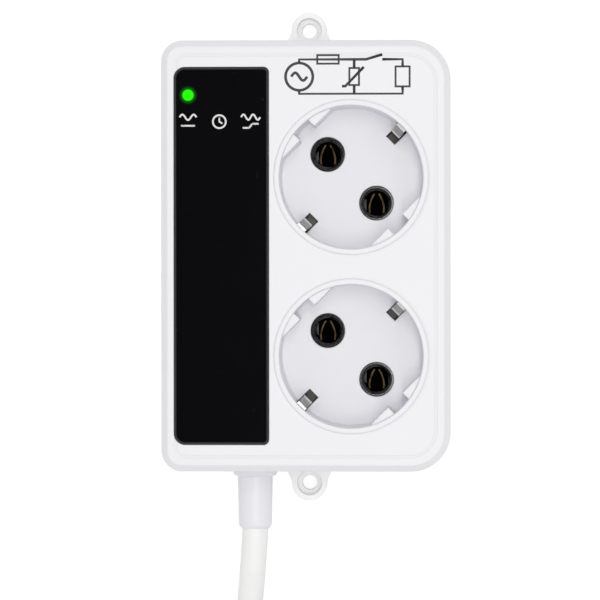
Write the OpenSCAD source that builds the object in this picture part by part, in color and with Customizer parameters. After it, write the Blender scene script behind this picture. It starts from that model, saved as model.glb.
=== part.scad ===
// Appliance voltage protector with two earthed outlets, an indicator window and a fixed cord.
// It lies on its flat back: X runs to the right, Y up the face and Z out of the face.
// All sizes are in millimetres.

/* [Housing] */
// Width of the housing at its seam
body_w = 79; // [78:0.5:86]
// Height of the housing at its seam
body_h = 117.5; // [116:0.5:128]
// Depth from the back to the face
body_d = 42; // [41:0.5:48]
// Corner radius on the window side
left_r = 6; // [5.5:0.25:7]
// Corner radius on the outlet side
right_r = 11; // [9:0.5:12]
// Thickness of the side walls
wall = 2.4; // [2:0.1:2.8]
// Thickness of the back plate
back_t = 2.5; // [2:0.1:3]
// Thickness of the face plate
face_t = 3; // [2.6:0.1:3.4]
// How much each side leans in from the seam to the face
draft = 0.2; // [0.1:0.05:0.6]
// Width of the bevel round the face
face_bevel = 1.7; // [1.2:0.1:2]
// Height of the seam between the two covers above the back
seam_z = 12; // [11:0.25:13]
// Height of the tongue that closes the seam from inside
tongue_h = 2; // [1.5:0.25:3]
// Thickness of that tongue
tongue_t = 1.1; // [0.8:0.1:1.3]
// Distance of the face groove's middle from the face's edge
groove_in = 4.05; // [3.6:0.05:4.6]
// Width of the face groove
groove_w = 0.9; // [0.6:0.1:1.2]
// Depth of the face groove
groove_depth = 0.12; // [0.08:0.02:0.6]
// Width of each sloping side of the face groove
groove_flank = 0.25; // [0.1:0.05:0.3]

/* [Indicator window] */
// Width of the window
window_w = 25.7; // [24:0.1:26]
// Height of the window
window_h = 102.3; // [100:0.1:103]
// Distance of the window's middle from the housing's middle
window_off = 22.85; // [22.7:0.05:23]
// Thickness of the window
window_t = 1.8; // [1.6:0.1:2]
// How far the window stands out of the face
window_proud = 0.3; // [0.2:0.05:0.5]
// Radius of the window's left corners
window_left_r = 3; // [2.5:0.1:3.5]
// Radius of the window's right corners
window_right_r = 1.4; // [1.2:0.1:2]
// Width of the window's polished bevel
window_bevel = 0.6; // [0.3:0.1:0.8]
// Height of the row of lights above the middle
light_y = 43.6; // [43:0.1:44.5]
// Distance between neighbouring lights
light_pitch = 8.5; // [8:0.1:9]
// Diameter of a light
light_d = 3; // [2.8:0.1:3.2]

/* [Outlets] */
// Distance of the outlets' line from the middle
socket_x = 12.35; // [12.2:0.05:12.6]
// Distance between the two outlets
socket_pitch = 48.55; // [47:0.05:50]
// Height of the middle between the outlets
socket_mid_y = -2.93; // [-4:0.01:-2]
// Diameter of a plug recess
recess_d = 39; // [38.6:0.1:39.4]
// Depth of a plug recess below its rim
recess_depth = 17.5; // [17:0.1:18]
// Thickness of the recess wall and floor
cup_wall = 2.1; // [1.8:0.1:2.3]
// Width of the raised rim round a recess
rim_w = 1.6; // [1.2:0.1:1.8]
// Height of the raised rim
rim_h = 0.25; // [0.15:0.05:0.7]
// Distance of the guide ledges from the middle of the recess
ledge_in = 16.9; // [16.7:0.05:17.2]
// Width of the notch between two guide ledges
ledge_notch = 5.6; // [5:0.1:6]
// How far the ledges stay below the rim
ledge_drop = 1.6; // [1:0.1:3]

/* [Contacts] */
// Distance between the two pin contacts of an outlet
pin_pitch = 19; // [18.8:0.05:19.2]
// Diameter of a contact tower
tower_d = 9.3; // [9.2:0.1:10]
// Diameter of the pin hole in a tower
pin_hole_d = 7; // [6.8:0.1:7.4]
// How far a tower stands above the recess floor
tower_proud = 0.3; // [0.2:0.05:0.6]
// Thickness of the contact bars
bar_t = 0.8; // [0.6:0.1:1]
// Width of the contact bars
bar_w = 6; // [5.6:0.2:6.6]
// Thickness of the spring leaves
leaf_t = 0.45; // [0.35:0.05:0.5]
// Width of the earth springs
spring_w = 2.9; // [2.5:0.1:3.1]
// Thickness of the earth springs
spring_t = 0.5; // [0.4:0.05:0.6]
// Width of the slots for the earth springs
spring_slot = 3.4; // [3.3:0.1:3.8]

/* [Fixing ears] */
// Distance from the housing's end to a fixing hole
ear_reach = 4.85; // [4.5:0.05:6]
// Radius of an ear's round end
ear_r = 4.9; // [4.8:0.1:6]
// Half width of an ear where it meets the housing
ear_root = 6.9; // [5.5:0.05:7.5]
// Thickness of the ears
ear_t = 6; // [5:0.25:10.5]
// Diameter of the fixing holes
ear_hole_d = 4.1; // [3.6:0.1:4.5]
// Diameter of the holes' counterbores
ear_sink_d = 6.9; // [6.2:0.1:7.6]
// Thickness left under a counterbore
ear_seat_t = 3; // [2.5:0.25:5]

/* [Cord and gland] */
// Distance of the gland from the housing's middle
gland_off = 15; // [14.5:0.25:15.5]
// Diameter of the cord
cord_d = 7.2; // [7:0.1:7.4]
// Diameter of the gland's flange
gland_flange_d = 12.4; // [11.4:0.1:13]
// Thickness of the gland's flange
gland_flange_t = 2.6; // [2:0.1:3]
// Diameter of the gland's sleeve at the flange
gland_sleeve_d = 9.7; // [9.2:0.1:10.2]
// Length of the gland's sleeve
gland_sleeve_len = 14.5; // [12:0.25:14.5]
// Diameter of the coil at the middle of its turns
coil_d = 80; // [76:1:86]

/* [Electronics] */
// Width of the control board
board_w = 23.5; // [22:0.25:24]
// Height of the control board
board_h = 97; // [96.5:0.25:98]
// Thickness of the control board
board_t = 1.6; // [1.2:0.1:2]
// Length of the pillars that hold the board under the face plate
pillar_len = 9.4; // [8.5:0.1:10]
// Width of the relay
relay_w = 15.4; // [14:0.1:16]
// Length of the relay
relay_len = 19; // [18:0.1:20]
// Height of the relay
relay_h = 15.4; // [13:0.1:16]

/* [Plug] */
// Diameter of the plug's front
plug_d = 36.8; // [36.4:0.1:37.2]
// Distance of the plug's guide flats from its axis
plug_flat = 16.5; // [16.3:0.1:16.8]
// Diameter of the plug's pins
plug_pin_d = 4.8; // [4.6:0.1:4.9]
// Length of the plug's pins
plug_pin_len = 19; // [18.5:0.1:19.5]

/* [Hidden] */
$fn = 96;

// Housing levels and places
fit_gap = 0.1;
half_w = body_w / 2;
half_h = body_h / 2;
face_under = body_d - face_t;
face_half_w = half_w - draft;
face_half_h = half_h - draft;
edge_soft = 0.12;
back_bevel = 0.8;
rim_z = body_d + rim_h;
recess_r = recess_d / 2;
cup_r = recess_r + cup_wall;
floor_z = rim_z - recess_depth;
floor_under = floor_z - cup_wall;
rim_soft = 0.25;
rim_flank = 0.45;
rim_valley_w = 0.7;
rim_valley_depth = 0.08;
recess_draft = 0.05;
recess_floor_r = recess_r - recess_draft;
floor_soft = 0.3;
socket_ys = [socket_mid_y + socket_pitch / 2, socket_mid_y - socket_pitch / 2];
pin_turn = -45;
spring_turn = 45;

ear_y = half_h + ear_reach;
ear_flare_in = 0.25;
groove_corner = 3.5;

// Housing screws and their bosses
boss_split = seam_z - 3.5;
boss_r = 3.2;
boss_back_r = 4.6;
screw_sink_d = 6.4;
screw_sink_depth = 6;
screw_clear_d = 3.4;
screw_pilot_d = 2.6;
screw_shank_d = screw_pilot_d - fit_gap;
screw_head_d = 5.6;
screw_head_h = 2.2;
screw_bite = 14;
boss_in = 6.1;
boss_in_far = 7.7;
boss_left = half_w - boss_in;
boss_left_y = half_h - boss_in;
boss_right = half_w - boss_in_far;
boss_right_y = half_h - boss_in_far;
bosses = [
    [-boss_left, boss_left_y, -1, 1],
    [-boss_left, -boss_left_y, -1, -1],
    [boss_right, boss_right_y, 1, 1],
    [boss_right, -boss_right_y, 1, -1]
];
gusset_t = 1.2;
gusset_len = wall + 3;
gusset_z = seam_z + tongue_h + 1;

// Window seat and lights
window_x = -window_off;
window_seat_z = body_d + window_proud - window_t;
light_hole_d = light_d + 0.4;
light_xs = [window_x - light_pitch - 0.5, window_x - 0.5, window_x + light_pitch - 0.5];
light_tip_z = face_under + 0.9;
light_body_h = 4.6;
light_flange_d = light_d + 0.7;
light_flange_h = 1;
lead_d = 0.6;
lead_gap = 1.27;

// Control board
board_top = face_under - pillar_len;
board_under = board_top - board_t;
board_x = window_x + 0.1;
board_y = 0;
pillar_r = 2.6;
pillar_hole_d = 1.9;
board_hole_d = 2.4;
board_screw_d = 1.8;
board_screw_head_d = 4;
board_screw_head_h = 1.4;
board_screw_bite = 6;
pillar_in = 2.8;
pillar_high_y = board_h / 2 - 14.5;
pillar_low_y = -board_h / 2 + 8.5;
pillars = [
    for (y = [pillar_high_y, pillar_low_y], side = [-1, 1])
        [board_x + side * (board_w / 2 - pillar_in), y]
];

// Pieces hung under the board
terminal_pitch = 5.2;
terminal_deep = 8;
terminal_h = 9.5;
terminal_drop = 6;
terminal_hold = 2.6;
terminal_screw_d = 2.8;
inlet_y = -28;
inlet_z = board_under - terminal_drop;
outlet_deep = 4.8;
outlet_x = board_x + board_w / 2 - 1.3 - outlet_deep / 2;
outlet_y = 8;
relay_x = outlet_x - outlet_deep / 2 - 0.5 - relay_w / 2 - board_x;
fuse_y = -17.5;
fuse_d = 5;
fuse_len = 16;
fuse_cap_d = 5.6;
fuse_cap_len = 3.6;
fuse_drop = 4.6;
fuse_leg = [2, 3, 4];
film_y = -9;
film_size = [18, 7.5, 12.5];
reservoir_x = board_x - 5;
reservoir_y = 25.5;
reservoir_r = 4;
reservoir_foot_r = 3.6;
reservoir_foot_h = 0.8;
reservoir_h = 12;
varistor_x = board_x + 4.5;
varistor_y = 26.5;
varistor_r = 5;
varistor_t = 3.8;
varistor_drop = 6.8;
varistor_leg_d = 0.8;
varistor_leg_h = 3.2;
varistor_leg_x = 2.5;
rectifier_at = [5, 40];
rectifier_size = [7.5, 6, 3];
chip_at = [-2.6, 33];
chip_size = [6, 5, 1.6];
resistor_at = [-8, 46.3];
resistor_size = [1.7, 3.1, 0.7];
resistor_pitch = 3.6;
live_foot_y = 6;
neutral_foot_y = 15.2;

// Contacts
bar_rest = 2.3;
bar_under = back_t + bar_rest;
bar_top = bar_under + bar_t;
rest_t = 1.6;
carrier_r = 6.6;
carrier_top = floor_under - fit_gap;
web_top = floor_under - 2.8;
web_w = 9;
tower_hole_d = tower_d + 0.3;
tower_z = floor_z + tower_proud;
mouth_r = pin_hole_d / 2 + 0.75;
mouth_depth = 0.7;
tower_soft = 0.15;
rest_dy = 3;
rest_over = 1;
leaf_top = floor_z - 2.5;
pin_dx = pin_pitch / 2 * cos(pin_turn);
pin_dy = pin_pitch / 2 * sin(pin_turn);
live_x = socket_x - pin_dx;
neutral_x = socket_x + pin_dx;
live_ys = [socket_ys[0] - pin_dy, socket_ys[1] - pin_dy];
neutral_ys = [socket_ys[0] + pin_dy, socket_ys[1] + pin_dy];
bar_over = 6;
leaf_plan = [[0.6, 2.7], [1.1, 1.85], [1.5, 0.95], [1.8, 0], [1.97, -0.9], [2, -1.8], [1.85, -2.6]];

// Earth springs, drawn along the diagonal of the outlet: distance from its middle, then height
spring_mid = web_top + spring_t / 2;
spring_rise = recess_r + 0.35;
slot_in = 14.9;
channel_r = spring_rise + spring_t / 2 + fit_gap;
spring_half = [
    [17.4, spring_mid],
    [spring_rise - 0.55, spring_mid + 0.3],
    [spring_rise - 0.1, spring_mid + 0.85],
    [spring_rise, spring_mid + 1.5],
    [spring_rise, rim_z - 5.5],
    [spring_rise - 0.12, rim_z - 4.8],
    [spring_rise - 0.5, rim_z - 4.35],
    [spring_rise - 0.95, rim_z - 4.4],
    [spring_rise - 1.25, rim_z - 4.9],
    [spring_rise - 2.5, rim_z - 8],
    [spring_rise - 2.85, rim_z - 9.3],
    [spring_rise - 2.65, rim_z - 10.7],
    [spring_rise - 1.85, rim_z - 13.2],
    [spring_rise - 1.4, rim_z - 14]
];
channel_top = rim_z - 3.6;
link_w = 3;
link_t = 0.8;
link_x = -5;
link_z = web_top + spring_t;
link_on = 8.6;
link_ys = [socket_ys[0] - link_on, socket_ys[1] - link_on];

// Gland and the cord's inner end
gland_x = -gland_off;
gland_z = seam_z;
gland_face_y = -half_h;
gland_neck_r = 4.6;
gland_collar_r = 6;
gland_collar_t = 1.8;
gland_bore_r = cord_d / 2 + 0.1;
gland_len = gland_flange_t + gland_sleeve_len;
gland_end_y = gland_face_y - gland_len;
gland_round = 1.35;
gland_lip = 1.4;
inner_end_y = -half_h + 13.7;
clamp_y = -half_h + 8.2;
clamp_w = 5;
clamp_t = 2.4;
clamp_post_r = 2.7;
clamp_post_dx = cord_d / 2 + 3.4;
clamp_screw_d = 2.2;
clamp_head_d = 4;
clamp_head_h = 1.5;
clamp_screw_len = 7;
core_d = 2.3;
core_ring = 1.75;

// The cord's route outside the housing, then its coil and its tail to the plug
run_drop = gland_z - cord_d / 2;
run_points = [
    [0, 0, 0],
    [-0.2, -4, 0],
    [-0.8, -12, -0.13 * run_drop],
    [-1.6, -20, -0.5 * run_drop],
    [-2.6, -28.5, -0.88 * run_drop],
    [-3.35, -34, -0.99 * run_drop],
    [-4.1, -38, -run_drop]
];
run_start = [gland_x, gland_end_y, gland_z];
turn_a = 168;
coil_r = coil_d / 2;
coil_out_r = coil_r + 1.5 * cord_d;
coil_in_r = coil_r - 1.5 * cord_d;
coil_h = 2 * cord_d;
coil_strand_r = coil_r + cord_d;
coil_lead = 27;
coil_soft = 2.6;
coil_slack = 0.25;
coil_short = 1;
lead_way = [-sin(turn_a), cos(turn_a)];
lead_dir = [lead_way[0], lead_way[1], 0];
turn_at = [cos(turn_a), sin(turn_a)];
run_end = run_start + run_points[len(run_points) - 1];
coil_touch = [run_end[0] + coil_lead * lead_way[0], run_end[1] + coil_lead * lead_way[1]];
coil_x = coil_touch[0] - coil_strand_r * turn_at[0];
coil_y = coil_touch[1] - coil_strand_r * turn_at[1];
tail_start = [
    coil_touch[0] + coil_lead * lead_way[0],
    coil_touch[1] + coil_lead * lead_way[1],
    1.5 * cord_d
];
tail_rise = plug_flat - 1.5 * cord_d;
tail_points = [
    [0, 0, 0],
    [-1, -5, 0],
    [-2.6, -13, 0.1 * tail_rise],
    [-1.9, -26, 0.35 * tail_rise],
    [4, -39, 0.65 * tail_rise],
    [14, -48.6, 0.9 * tail_rise],
    [26, -53.6, tail_rise],
    [34, -54, tail_rise]
];
tail_end = tail_start + tail_points[len(tail_points) - 1];
tie_w = 11;
tie_t = 0.9;
tie_turn = 15;
tube_sides = 10;
core_sides = 8;

// Plug
plug_boot_len = 16;
plug_boot_r = cord_d / 2 + 0.6;
plug_boot_grow = 1;
boot_ring_pitch = 2.7;
boot_ring_w = 1.2;
boot_ring_depth = 0.7;
plug_grip_len = 38;
plug_grip_r = 11.9;
grip_rib_pitch = 2.6;
grip_rib_w = 1.2;
grip_rib_h = 0.5;
plug_face_x = tail_end[0] + plug_boot_len + plug_grip_len;
plug_axis_z = tail_end[2];
plug_pin_bite = 6;
plug_pin_root_d = plug_pin_d - 0.8;
plug_tip = 1.2;
strip_w = 6;
strip_t = 0.8;
strip_len = 15;
strip_r = plug_flat - 0.4;

// Helper functions
function unit(v) = v / norm(v);
function left_of(v) = [-v[1], v[0]];
function way_at(p, i) = unit(p[min(i + 1, len(p) - 1)] - p[max(i - 1, 0)]);
function into(p, i) = i > 0 ? unit(p[i] - p[i - 1]) : unit(p[1] - p[0]);
function out_of(p, i) = i < len(p) - 1 ? unit(p[i + 1] - p[i]) : into(p, i);
function mitre(p, i) = unit(left_of(into(p, i)) + left_of(out_of(p, i)));
function beside(p, i, d) = p[i] + mitre(p, i) * d / (mitre(p, i) * left_of(into(p, i)));
function strip_outline(p, t) = concat(
    [for (i = [0:len(p) - 1]) beside(p, i, t / 2)],
    [for (i = [len(p) - 1:-1:0]) beside(p, i, -t / 2)]
);
function curve_point(a, b, c, d, t) = 0.5 * (
    2 * b + (c - a) * t + (2 * a - 5 * b + 4 * c - d) * t * t + (3 * b - a - 3 * c + d) * t * t * t
);
function smoothed(p, steps) = concat(
    [for (i = [0:len(p) - 2], j = [0:steps - 1])
        curve_point(p[max(i - 1, 0)], p[i], p[i + 1], p[min(i + 2, len(p) - 1)], j / steps)],
    [p[len(p) - 1]]
);
function across(way, side) = unit(side - (side * way) * way);
function ways_along(p, first, last) = [
    for (i = [0:len(p) - 1]) i == 0 ? first : i == len(p) - 1 ? last : way_at(p, i)
];
function sides_along(ways, side, i = 0) = i >= len(ways)
    ? []
    : let(s = across(ways[i], side)) concat([s], sides_along(ways, s, i + 1));
function tube_points(p, r, n, ways, sides) = [
    for (i = [0:len(p) - 1], k = [0:n - 1])
        p[i] + r * (cos(360 * k / n) * sides[i] + sin(360 * k / n) * cross(ways[i], sides[i]))
];
function tube_faces(rings, n) = concat(
    [[for (k = [0:n - 1]) k]],
    [for (i = [0:rings - 2], k = [0:n - 1]) [i * n + k, (i + 1) * n + k, (i + 1) * n + (k + 1) % n]],
    [for (i = [0:rings - 2], k = [0:n - 1]) [i * n + k, (i + 1) * n + (k + 1) % n, i * n + (k + 1) % n]],
    [[for (k = [n - 1:-1:0]) (rings - 1) * n + k]]
);

// A round tube or wire swept along a list of points, square to its first and last directions
module tube(p, d, n, first, last) {
    ways = ways_along(p, first, last);
    sides = sides_along(ways, [0, 0, 1]);
    polyhedron(points = tube_points(p, d / 2, n, ways, sides), faces = tube_faces(len(p), n));
}

// A rounded rectangular block whose edge follows a profile of insets and heights
module block(w, h, r_left, r_right, edge) {
    low = edge[0][1];
    high = edge[len(edge) - 1][1];
    left_side = concat([[0, low]], [for (e = edge) [-w / 2 + e[0], e[1]]], [[0, high]]);
    right_side = concat([[0, low]], [for (e = edge) [w / 2 - e[0], e[1]]], [[0, high]]);
    end_side = concat([[0, low]], [for (e = edge) [h / 2 - e[0], e[1]]], [[0, high]]);
    translate([0, h / 2 - r_left, 0])
        rotate([90, 0, 0]) linear_extrude(h - 2 * r_left) polygon(left_side);
    translate([0, h / 2 - r_right, 0])
        rotate([90, 0, 0]) linear_extrude(h - 2 * r_right) polygon(right_side);
    for (way = [0, 1]) mirror([0, way, 0]) {
        translate([-w / 2 + r_left, 0, 0])
            rotate([90, 0, 90])
            linear_extrude(w - r_left - r_right) polygon(end_side);
        translate([-w / 2 + r_left, h / 2 - r_left, 0])
            rotate_extrude(angle = 90, start = 90)
            polygon(concat([[0, low]], [for (e = edge) [r_left - e[0], e[1]]], [[0, high]]));
        translate([w / 2 - r_right, h / 2 - r_right, 0])
            rotate_extrude(angle = 90, start = 0)
            polygon(concat([[0, low]], [for (e = edge) [r_right - e[0], e[1]]], [[0, high]]));
    }
}

// A rounded rectangle, drawn flat
module rounded_shape(w, h, r_left, r_right) {
    translate([-w / 2 + r_left, -h / 2]) square([w - r_left - r_right, h]);
    translate([-w / 2, -h / 2 + r_left]) square([w / 2, h - 2 * r_left]);
    translate([0, -h / 2 + r_right]) square([w / 2, h - 2 * r_right]);
    for (s = [-1, 1]) {
        translate([-w / 2 + r_left, s * (h / 2 - r_left)]) circle(r_left);
        translate([w / 2 - r_right, s * (h / 2 - r_right)]) circle(r_right);
    }
}

// A screw that bears on Z 0, with its head above and a cross in it
module screw(head_d, head_h, shank_d, len) {
    difference() {
        union() {
            cylinder(d1 = head_d, d2 = head_d * 0.8, h = head_h);
            translate([0, 0, -len]) cylinder(d = shank_d, h = len + 0.1);
        }
        for (a = [0, 90])
            translate([0, 0, head_h])
                rotate([0, 0, a]) cube([head_d * 0.55, head_d * 0.14, head_h], center = true);
    }
}

module at_outlets() {
    for (y = socket_ys) translate([socket_x, y, 0]) children();
}

// The wall and floor of one plug recess, before its hollow is cut
module cup() {
    translate([0, 0, floor_under]) cylinder(r = cup_r, h = body_d - floor_under);
    rotate_extrude() polygon([
        [recess_r - 1, body_d - 0.5],
        [recess_r + rim_w, body_d - 0.5],
        [recess_r + rim_w, body_d - rim_valley_depth],
        [recess_r + rim_w - rim_flank * 0.35, body_d + rim_h * 0.5],
        [recess_r + rim_w - rim_flank * 0.7, body_d + rim_h * 0.88],
        [recess_r + rim_w - rim_flank, rim_z],
        [recess_r - 1, rim_z]
    ]);
}

// The hollow of one recess, with the shallow valley round its rim
module cup_hollow() {
    rotate_extrude() polygon([
        [0, floor_z],
        [recess_floor_r - floor_soft, floor_z],
        [recess_floor_r - floor_soft * 0.3, floor_z + floor_soft * 0.3],
        [recess_floor_r, floor_z + floor_soft],
        [recess_r, rim_z - rim_soft],
        [recess_r + 0.1, rim_z - rim_soft * 0.3],
        [recess_r + rim_soft, rim_z],
        [recess_r + rim_soft, rim_z + 1],
        [0, rim_z + 1]
    ]);
    rotate_extrude() polygon([
        [recess_r + rim_w, body_d - rim_valley_depth],
        [recess_r + rim_w + rim_valley_w, body_d],
        [recess_r + rim_w + rim_valley_w, body_d + 1],
        [recess_r + rim_w, body_d + 1]
    ]);
    rotate([0, 0, pin_turn]) for (s = [-1, 1])
        translate([s * pin_pitch / 2, 0, floor_under - 1]) cylinder(d = tower_hole_d, h = cup_wall + 2);
    rotate([0, 0, spring_turn]) for (s = [0, 180]) rotate([0, 0, s]) {
        translate([slot_in, -spring_slot / 2, floor_under - 1])
            cube([channel_r - slot_in, spring_slot, cup_wall + 2]);
        translate([recess_r - 2, -spring_slot / 2, floor_under - 1])
            cube([channel_r - recess_r + 2, spring_slot, channel_top - floor_under + 1]);
    }
}

// The two pairs of guide ledges in one recess
module ledges() {
    rotate([0, 0, pin_turn]) difference() {
        translate([0, 0, floor_z - 0.5])
            cylinder(r = recess_r + 0.5, h = rim_z - ledge_drop - floor_z + 0.5);
        translate([-ledge_in, -recess_d, floor_z - 1]) cube([2 * ledge_in, 2 * recess_d, recess_depth + 2]);
        translate([-recess_d, -ledge_notch / 2, floor_z - 1])
            cube([2 * recess_d, ledge_notch, recess_depth + 2]);
    }
}

// A block that follows the middle of the face groove, grown by a given step
module groove_block(step, edge)
    block(
        2 * (face_half_w - groove_in + step),
        2 * (face_half_h - groove_in + step),
        left_r - groove_corner + step,
        right_r - groove_corner + step,
        edge
    );

module front_cover() color([0.94, 0.94, 0.945]) difference() {
    union() {
        difference() {
            union() {
                block(body_w, body_h, left_r, right_r, [
                    [0, seam_z],
                    [draft, body_d - face_bevel - edge_soft],
                    [draft + edge_soft * 0.6, body_d - face_bevel + edge_soft * 0.6],
                    [draft + face_bevel - edge_soft * 0.6, body_d - edge_soft * 0.6],
                    [draft + face_bevel + edge_soft, body_d]
                ]);
                at_outlets() cup();
            }
            difference() {
                block(body_w - 2 * wall, body_h - 2 * wall, left_r - wall, right_r - wall, [
                    [0, seam_z - 1],
                    [draft, face_under]
                ]);
                at_outlets() translate([0, 0, floor_under]) cylinder(r = cup_r, h = body_d);
                for (b = bosses) translate([b[0], b[1], 0]) {
                    translate([0, 0, seam_z - 2]) cylinder(r = boss_r, h = body_d - seam_z);
                    translate([b[2] > 0 ? 0 : -gusset_len, -gusset_t / 2, gusset_z])
                        cube([gusset_len, gusset_t, body_d - seam_z]);
                    translate([-gusset_t / 2, b[3] > 0 ? 0 : -gusset_len, gusset_z])
                        cube([gusset_t, gusset_len, body_d - seam_z]);
                }
                for (p = pillars)
                    translate([p[0], p[1], board_top]) cylinder(r = pillar_r, h = body_d - board_top);
            }
            // Seat of the tongue
            translate([0, 0, seam_z - 1]) linear_extrude(tongue_h + 1 + fit_gap)
                rounded_shape(
                    body_w - 2 * wall + 2 * tongue_t + 2 * fit_gap,
                    body_h - 2 * wall + 2 * tongue_t + 2 * fit_gap,
                    left_r - wall + tongue_t + fit_gap,
                    right_r - wall + tongue_t + fit_gap
                );
            // Seat of the window and the holes for its lights
            translate([window_x, 0, window_seat_z]) linear_extrude(window_t)
                rounded_shape(
                    window_w + 2 * fit_gap,
                    window_h + 2 * fit_gap,
                    window_left_r + fit_gap,
                    window_right_r + fit_gap
                );
            for (x = light_xs)
                translate([x, light_y, face_under - 1]) cylinder(d = light_hole_d, h = face_t + 2);
            // Groove round the face
            difference() {
                groove_block(groove_w / 2, [
                    [groove_flank, body_d - groove_depth],
                    [0, body_d],
                    [0, body_d + 1]
                ]);
                groove_block(groove_flank - groove_w / 2, [
                    [0, body_d - groove_depth - 1],
                    [0, body_d - groove_depth],
                    [groove_flank, body_d],
                    [groove_flank, body_d + 2]
                ]);
            }
            at_outlets() cup_hollow();
        }
        at_outlets() ledges();
        // Bosses for the housing screws, from the face plate down into the back cover
        for (b = bosses)
            translate([b[0], b[1], boss_split]) cylinder(r = boss_r, h = face_under - boss_split + 0.5);
    }
    for (b = bosses)
        translate([b[0], b[1], boss_split - 1]) cylinder(d = screw_pilot_d, h = screw_bite + 6);
    for (p = pillars)
        translate([p[0], p[1], board_top - 1]) cylinder(d = pillar_hole_d, h = pillar_len + 0.5);
    translate([gland_x, -half_h + wall + 5, gland_z])
        rotate([90, 0, 0]) cylinder(r = gland_neck_r + fit_gap, h = wall + 10);
}

// One fixing ear, drawn flat: a round end that flares out to the housing
module ear_shape() {
    translate([0, ear_y]) circle(ear_r);
    polygon([
        [-ear_root, half_h - wall / 2],
        [ear_root, half_h - wall / 2],
        [ear_root, half_h],
        [ear_r - ear_flare_in, ear_y],
        [ear_flare_in - ear_r, ear_y],
        [-ear_root, half_h]
    ]);
}

// The rests that carry one contact bar
module bar_rests(x, ys) {
    for (y = ys, side = [-1, 1])
        translate([x - bar_w / 2 - rest_over, y + side * rest_dy - rest_t / 2, back_t - 0.5])
            cube([bar_w + 2 * rest_over, rest_t, bar_rest + 0.5]);
}

module back_cover() color([0.94, 0.94, 0.945]) difference() {
    union() {
        difference() {
            union() {
                block(body_w, body_h, left_r, right_r, [
                    [back_bevel, 0],
                    [0, back_bevel],
                    [0, seam_z]
                ]);
                for (way = [0, 1]) mirror([0, way, 0]) linear_extrude(ear_t) ear_shape();
            }
            translate([0, 0, back_t]) linear_extrude(seam_z)
                rounded_shape(body_w - 2 * wall, body_h - 2 * wall, left_r - wall, right_r - wall);
        }
        // Tongue that stands up inside the front cover
        translate([0, 0, seam_z - 0.5]) linear_extrude(tongue_h + 0.5) difference() {
            rounded_shape(
                body_w - 2 * wall + 2 * tongue_t,
                body_h - 2 * wall + 2 * tongue_t,
                left_r - wall + tongue_t,
                right_r - wall + tongue_t
            );
            rounded_shape(body_w - 2 * wall, body_h - 2 * wall, left_r - wall, right_r - wall);
        }
        // Bosses round the sunk screw heads
        for (b = bosses) intersection() {
            translate([b[0], b[1], back_t - 0.5]) cylinder(r = boss_back_r, h = boss_split - back_t + 0.5);
            linear_extrude(seam_z)
                rounded_shape(body_w - wall, body_h - wall, left_r - wall / 2, right_r - wall / 2);
        }
        // Rests under the contact bars
        bar_rests(live_x, live_ys);
        bar_rests(neutral_x, neutral_ys);
        // Saddle and posts of the cord clamp
        difference() {
            translate([gland_x - clamp_post_dx, clamp_y - clamp_w / 2, back_t - 0.5])
                cube([2 * clamp_post_dx, clamp_w, gland_z - back_t - 1]);
            translate([gland_x, clamp_y + clamp_w, gland_z])
                rotate([90, 0, 0]) cylinder(d = cord_d, h = 2 * clamp_w);
        }
        for (s = [-1, 1])
            translate([gland_x + s * clamp_post_dx, clamp_y, back_t - 0.5])
                cylinder(r = clamp_post_r, h = gland_z + cord_d / 2 - back_t + 0.5);
    }
    for (b = bosses) translate([b[0], b[1], -1]) {
        cylinder(d = screw_sink_d, h = screw_sink_depth + 1);
        cylinder(d = screw_clear_d, h = seam_z + 2);
    }
    for (s = [-1, 1]) translate([0, s * ear_y, -1]) {
        cylinder(d = ear_hole_d, h = ear_t + 2);
        translate([0, 0, ear_seat_t + 1]) cylinder(d = ear_sink_d, h = ear_t);
    }
    for (s = [-1, 1])
        translate([gland_x + s * clamp_post_dx, clamp_y, gland_z + cord_d / 2 - clamp_screw_len - 0.5])
            cylinder(d = clamp_screw_d + fit_gap, h = clamp_screw_len + 1);
    translate([gland_x, -half_h + wall + 1, gland_z])
        rotate([90, 0, 0]) cylinder(r = gland_neck_r + fit_gap, h = wall + 2);
}

module indicator_window() color([0.05, 0.05, 0.06])
    translate([window_x, 0, 0]) block(window_w, window_h, window_left_r, window_right_r, [
        [0, window_seat_z],
        [0, window_seat_z + window_t - window_bevel * 0.6],
        [window_bevel * 0.35, window_seat_z + window_t - window_bevel * 0.2],
        [window_bevel, window_seat_z + window_t]
    ]);

// A light on its two leads, from the board up into its hole in the face plate
module light(x) {
    base_z = light_tip_z - light_body_h;
    translate([x, light_y, base_z]) {
        cylinder(d = light_flange_d, h = light_flange_h);
        cylinder(d = light_d, h = light_body_h - light_d / 2);
        intersection() {
            translate([0, 0, light_body_h - light_d / 2]) sphere(d = light_d);
            cylinder(d = light_d + 1, h = light_body_h);
        }
    }
    for (s = [-1, 1])
        translate([x + s * lead_gap, light_y, board_top]) cylinder(d = lead_d, h = base_z - board_top);
}
module light_normal() color([0.1, 0.9, 0.2]) light(light_xs[0]);
module light_delay() color([0.9, 0.75, 0.2]) light(light_xs[1]);
module light_fault() color([0.85, 0.15, 0.1]) light(light_xs[2]);

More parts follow.
